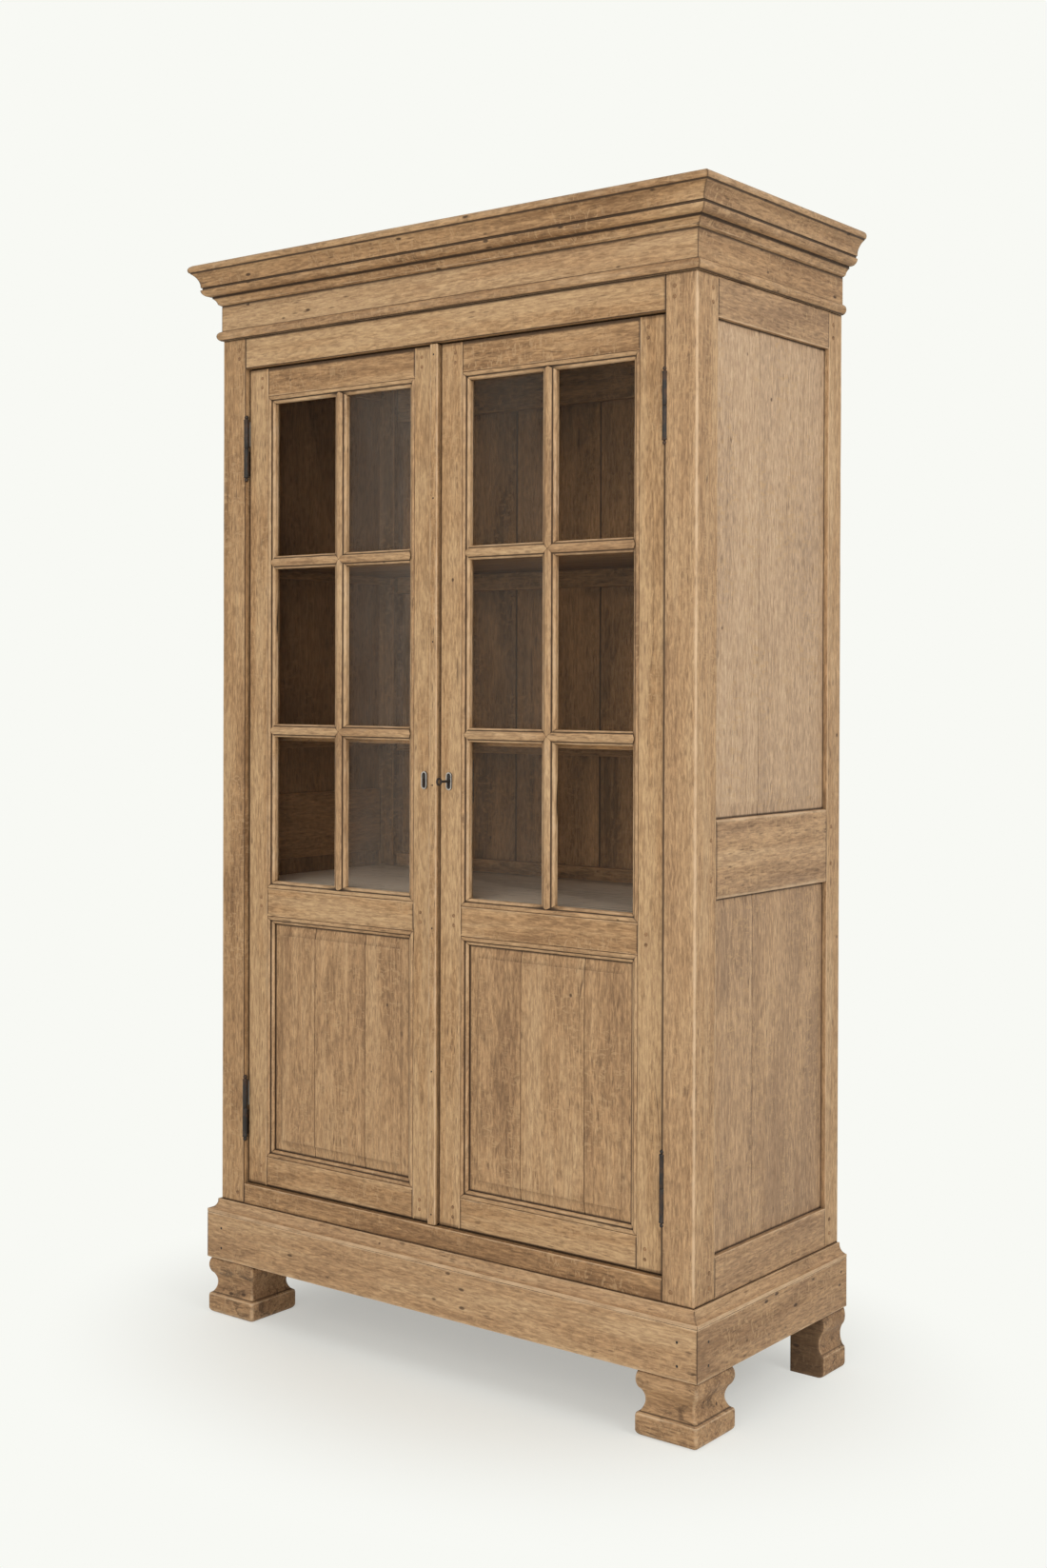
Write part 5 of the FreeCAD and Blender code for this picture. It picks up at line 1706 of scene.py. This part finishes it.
class CABINET_OT_corner_shade(Operator):
    """Paint shade into the joints, quirks and corners of the timber, darker where more timber is near"""
    bl_idname = "cabinet.dirt"
    bl_label = "Dirt in the corners"

    def execute(self, context):
        reach = context.scene.cabinet_sizes.corner_shade_reach
        timbers = [piece for piece in context.scene.objects if piece.type == "MESH"]
        timbers = [piece for piece in timbers if "wear_and_shade" in piece.data.attributes]
        points, faces = [], []
        for piece in timbers:
            first = len(points)
            points.extend(vertex.co.copy() for vertex in piece.data.vertices)
            faces.extend([first + index for index in face.vertices] for face in piece.data.polygons)
        tree = BVHTree.FromPolygons(points, faces)
        fan = ray_fan(count=12)
        for piece in timbers:
            values = [self.closed_in(tree, vertex, fan, reach) for vertex in piece.data.vertices]
            # Painted shade from nearby timber, stored for the oak finish
            piece.data.attributes.new("dirt_and_shade", "FLOAT", "POINT").data.foreach_set("value", values)
        return {"FINISHED"}

    def closed_in(self, tree, vertex, fan, reach):
        """How much of what is near a point is timber, from 0 to 1."""
        normal = vertex.normal
        side = normal.orthogonal().normalized()
        aside = normal.cross(side)
        start = vertex.co + normal * (0.3 * MM)
        total = 0.0
        for a, b, height in fan:
            distance = tree.ray_cast(start, side * a + aside * b + normal * height, reach)[3]
            if distance is not None:
                total += 1 - 0.7 * distance / reach
        return total / len(fan)


# Stage
# Each lamp's name, place, aim, size, power and colour
lamps = (
    ("front_light", Vector((1.5, -4.8, 2.6)), Vector((0, 0, 1.0)), 4.0, 98, (1, 0.975, 0.94)),
    ("side_light", Vector((4.5, -0.8, 3.5)), Vector((0.3, 0, 1.0)), 2.2, 76, (0.97, 0.985, 1)),
)
room_strength = 0.48
camera_place = (2.2922, -2.9399, 1.2718)
camera_turn = 0.65578
camera_dip = 0.00868
camera_roll = 0.00335
camera_lens = 44.110
camera_shift = -0.05175


def background_seen(tree):
    """A mask of the camera, glossy and transmission rays, which see the plain backdrop colour."""
    path = tree.nodes.new("ShaderNodeLightPath")
    seen = path.outputs["Is Camera Ray"]
    for name in ("Is Glossy Ray", "Is Transmission Ray"):
        either = tree.nodes.new("ShaderNodeMath")
        either.operation = "MAXIMUM"
        tree.links.new(seen, either.inputs[0])
        tree.links.new(path.outputs[name], either.inputs[1])
        seen = either.outputs[0]
    return seen


def floor_finish(colour):
    """A pale floor that keeps the shadow near the cabinet and runs out into the backdrop."""
    finish = Finish("pale_floor")
    place = finish.add("TexCoord").outputs["Object"]
    distance = finish.add("VectorMath", operation="LENGTH")
    finish.feed(distance.inputs[0], finish.scaled(place, (1, 1.25, 0)))
    fade = finish.ranged(distance.outputs["Value"], 0.40, 1.05)
    board = finish.made("BsdfDiffuse", {"Color": (*colour, 1)})
    glow = finish.made("Emission", {"Color": (*colour, 1)})
    fade = finish.sums("MULTIPLY_ADD", fade, 0.6, 0.4)
    seen = finish.sums("MULTIPLY", fade, background_seen(finish.tree))
    return finish.surface(finish.mixed(seen, board.outputs[0], glow.outputs[0]))


class CABINET_OT_stage(Operator):
    """Set up the pale floor, the soft light and the camera"""
    bl_idname = "cabinet.stage"
    bl_label = "Stage"

    def execute(self, context):
        scene = context.scene
        colour = tuple(scene.cabinet_colours.backdrop)
        size = 9
        corners = [(-size, -size, 0), (size, -size, 0), (size, size, 0), (-size, size, 0)]
        mesh = bpy.data.meshes.new("pale_floor")
        mesh.from_pydata(corners, [], [(0, 1, 2, 3)])
        mesh.materials.append(floor_finish(colour))
        ground = bpy.data.objects.new("pale_floor", mesh)
        scene.collection.objects.link(ground)
        self.light_world(scene, colour)
        for lamp in lamps:
            self.add_lamp(*lamp)
        self.add_camera(scene)
        scene.view_settings.view_transform = "Standard"
        return {"FINISHED"}

    def light_world(self, scene, colour):
        world = bpy.data.worlds.new("soft_room")
        world.use_nodes = True
        tree = world.node_tree
        tree.nodes.clear()
        light = tree.nodes.new("ShaderNodeBackground")
        light.inputs["Color"].default_value = (1, 0.985, 0.96, 1)
        light.inputs["Strength"].default_value = room_strength
        seen = tree.nodes.new("ShaderNodeBackground")
        seen.inputs["Color"].default_value = (*colour, 1)
        both = tree.nodes.new("ShaderNodeMixShader")
        output = tree.nodes.new("ShaderNodeOutputWorld")
        tree.links.new(background_seen(tree), both.inputs[0])
        tree.links.new(light.outputs[0], both.inputs[1])
        tree.links.new(seen.outputs[0], both.inputs[2])
        tree.links.new(both.outputs[0], output.inputs["Surface"])
        scene.world = world

    def add_lamp(self, name, place, aim, size, power, colour):
        lamp = bpy.data.lights.new(name, "AREA")
        lamp.size = size
        lamp.energy = power
        lamp.color = colour
        holder = bpy.data.objects.new(name, lamp)
        holder.location = place
        holder.rotation_euler = (aim - place).to_track_quat("-Z", "Y").to_euler()
        bpy.context.scene.collection.objects.link(holder)

    def add_camera(self, scene):
        camera = bpy.data.cameras.new("photo_camera")
        camera.lens = camera_lens
        camera.shift_y = camera_shift
        holder = bpy.data.objects.new("photo_camera", camera)
        turn = Matrix.Rotation(camera_turn, 4, "Z")
        tilt = Matrix.Rotation(math.pi / 2 - camera_dip, 4, "X")
        roll = Matrix.Rotation(camera_roll, 4, "Z")
        holder.matrix_world = Matrix.Translation(camera_place) @ turn @ tilt @ roll
        scene.collection.objects.link(holder)
        scene.camera = holder


OPERATORS = (
    CABINET_OT_feet, CABINET_OT_plinth, CABINET_OT_posts, CABINET_OT_rails, CABINET_OT_side_panels,
    CABINET_OT_back, CABINET_OT_shelves, CABINET_OT_head, CABINET_OT_door_frames, CABINET_OT_glazing,
    CABINET_OT_panes, CABINET_OT_door_panels, CABINET_OT_pegs, CABINET_OT_corner_shade, CABINET_OT_nails,
    CABINET_OT_hinges, CABINET_OT_ironwork, CABINET_OT_stage,
)


class CABINET_PT_dressing(Panel):
    """Lists the steps and the sizes and colours they use"""
    bl_idname = "CABINET_PT_dressing"
    bl_label = "Oak display cabinet"
    bl_space_type = "VIEW_3D"
    bl_region_type = "UI"
    bl_category = "Cabinet"

    def draw(self, context):
        column = self.layout.column(align=True)
        for operator in OPERATORS:
            column.operator(operator.bl_idname)
        for group in (context.scene.cabinet_sizes, context.scene.cabinet_colours):
            box = self.layout.box()
            for name in group.__annotations__:
                box.prop(group, name)


CLASSES = (CabinetSizes, CabinetColours, *OPERATORS, CABINET_PT_dressing)


def register():
    for item in CLASSES:
        bpy.utils.register_class(item)
    bpy.types.Scene.cabinet_sizes = PointerProperty(type=CabinetSizes)
    bpy.types.Scene.cabinet_colours = PointerProperty(type=CabinetColours)


def unregister():
    del bpy.types.Scene.cabinet_colours
    del bpy.types.Scene.cabinet_sizes
    for item in reversed(CLASSES):
        bpy.utils.unregister_class(item)


def main():
    register()
    for operator in OPERATORS:
        group, name = operator.bl_idname.split(".")
        getattr(getattr(bpy.ops, group), name)()


if __name__ == "__main__":
    main()
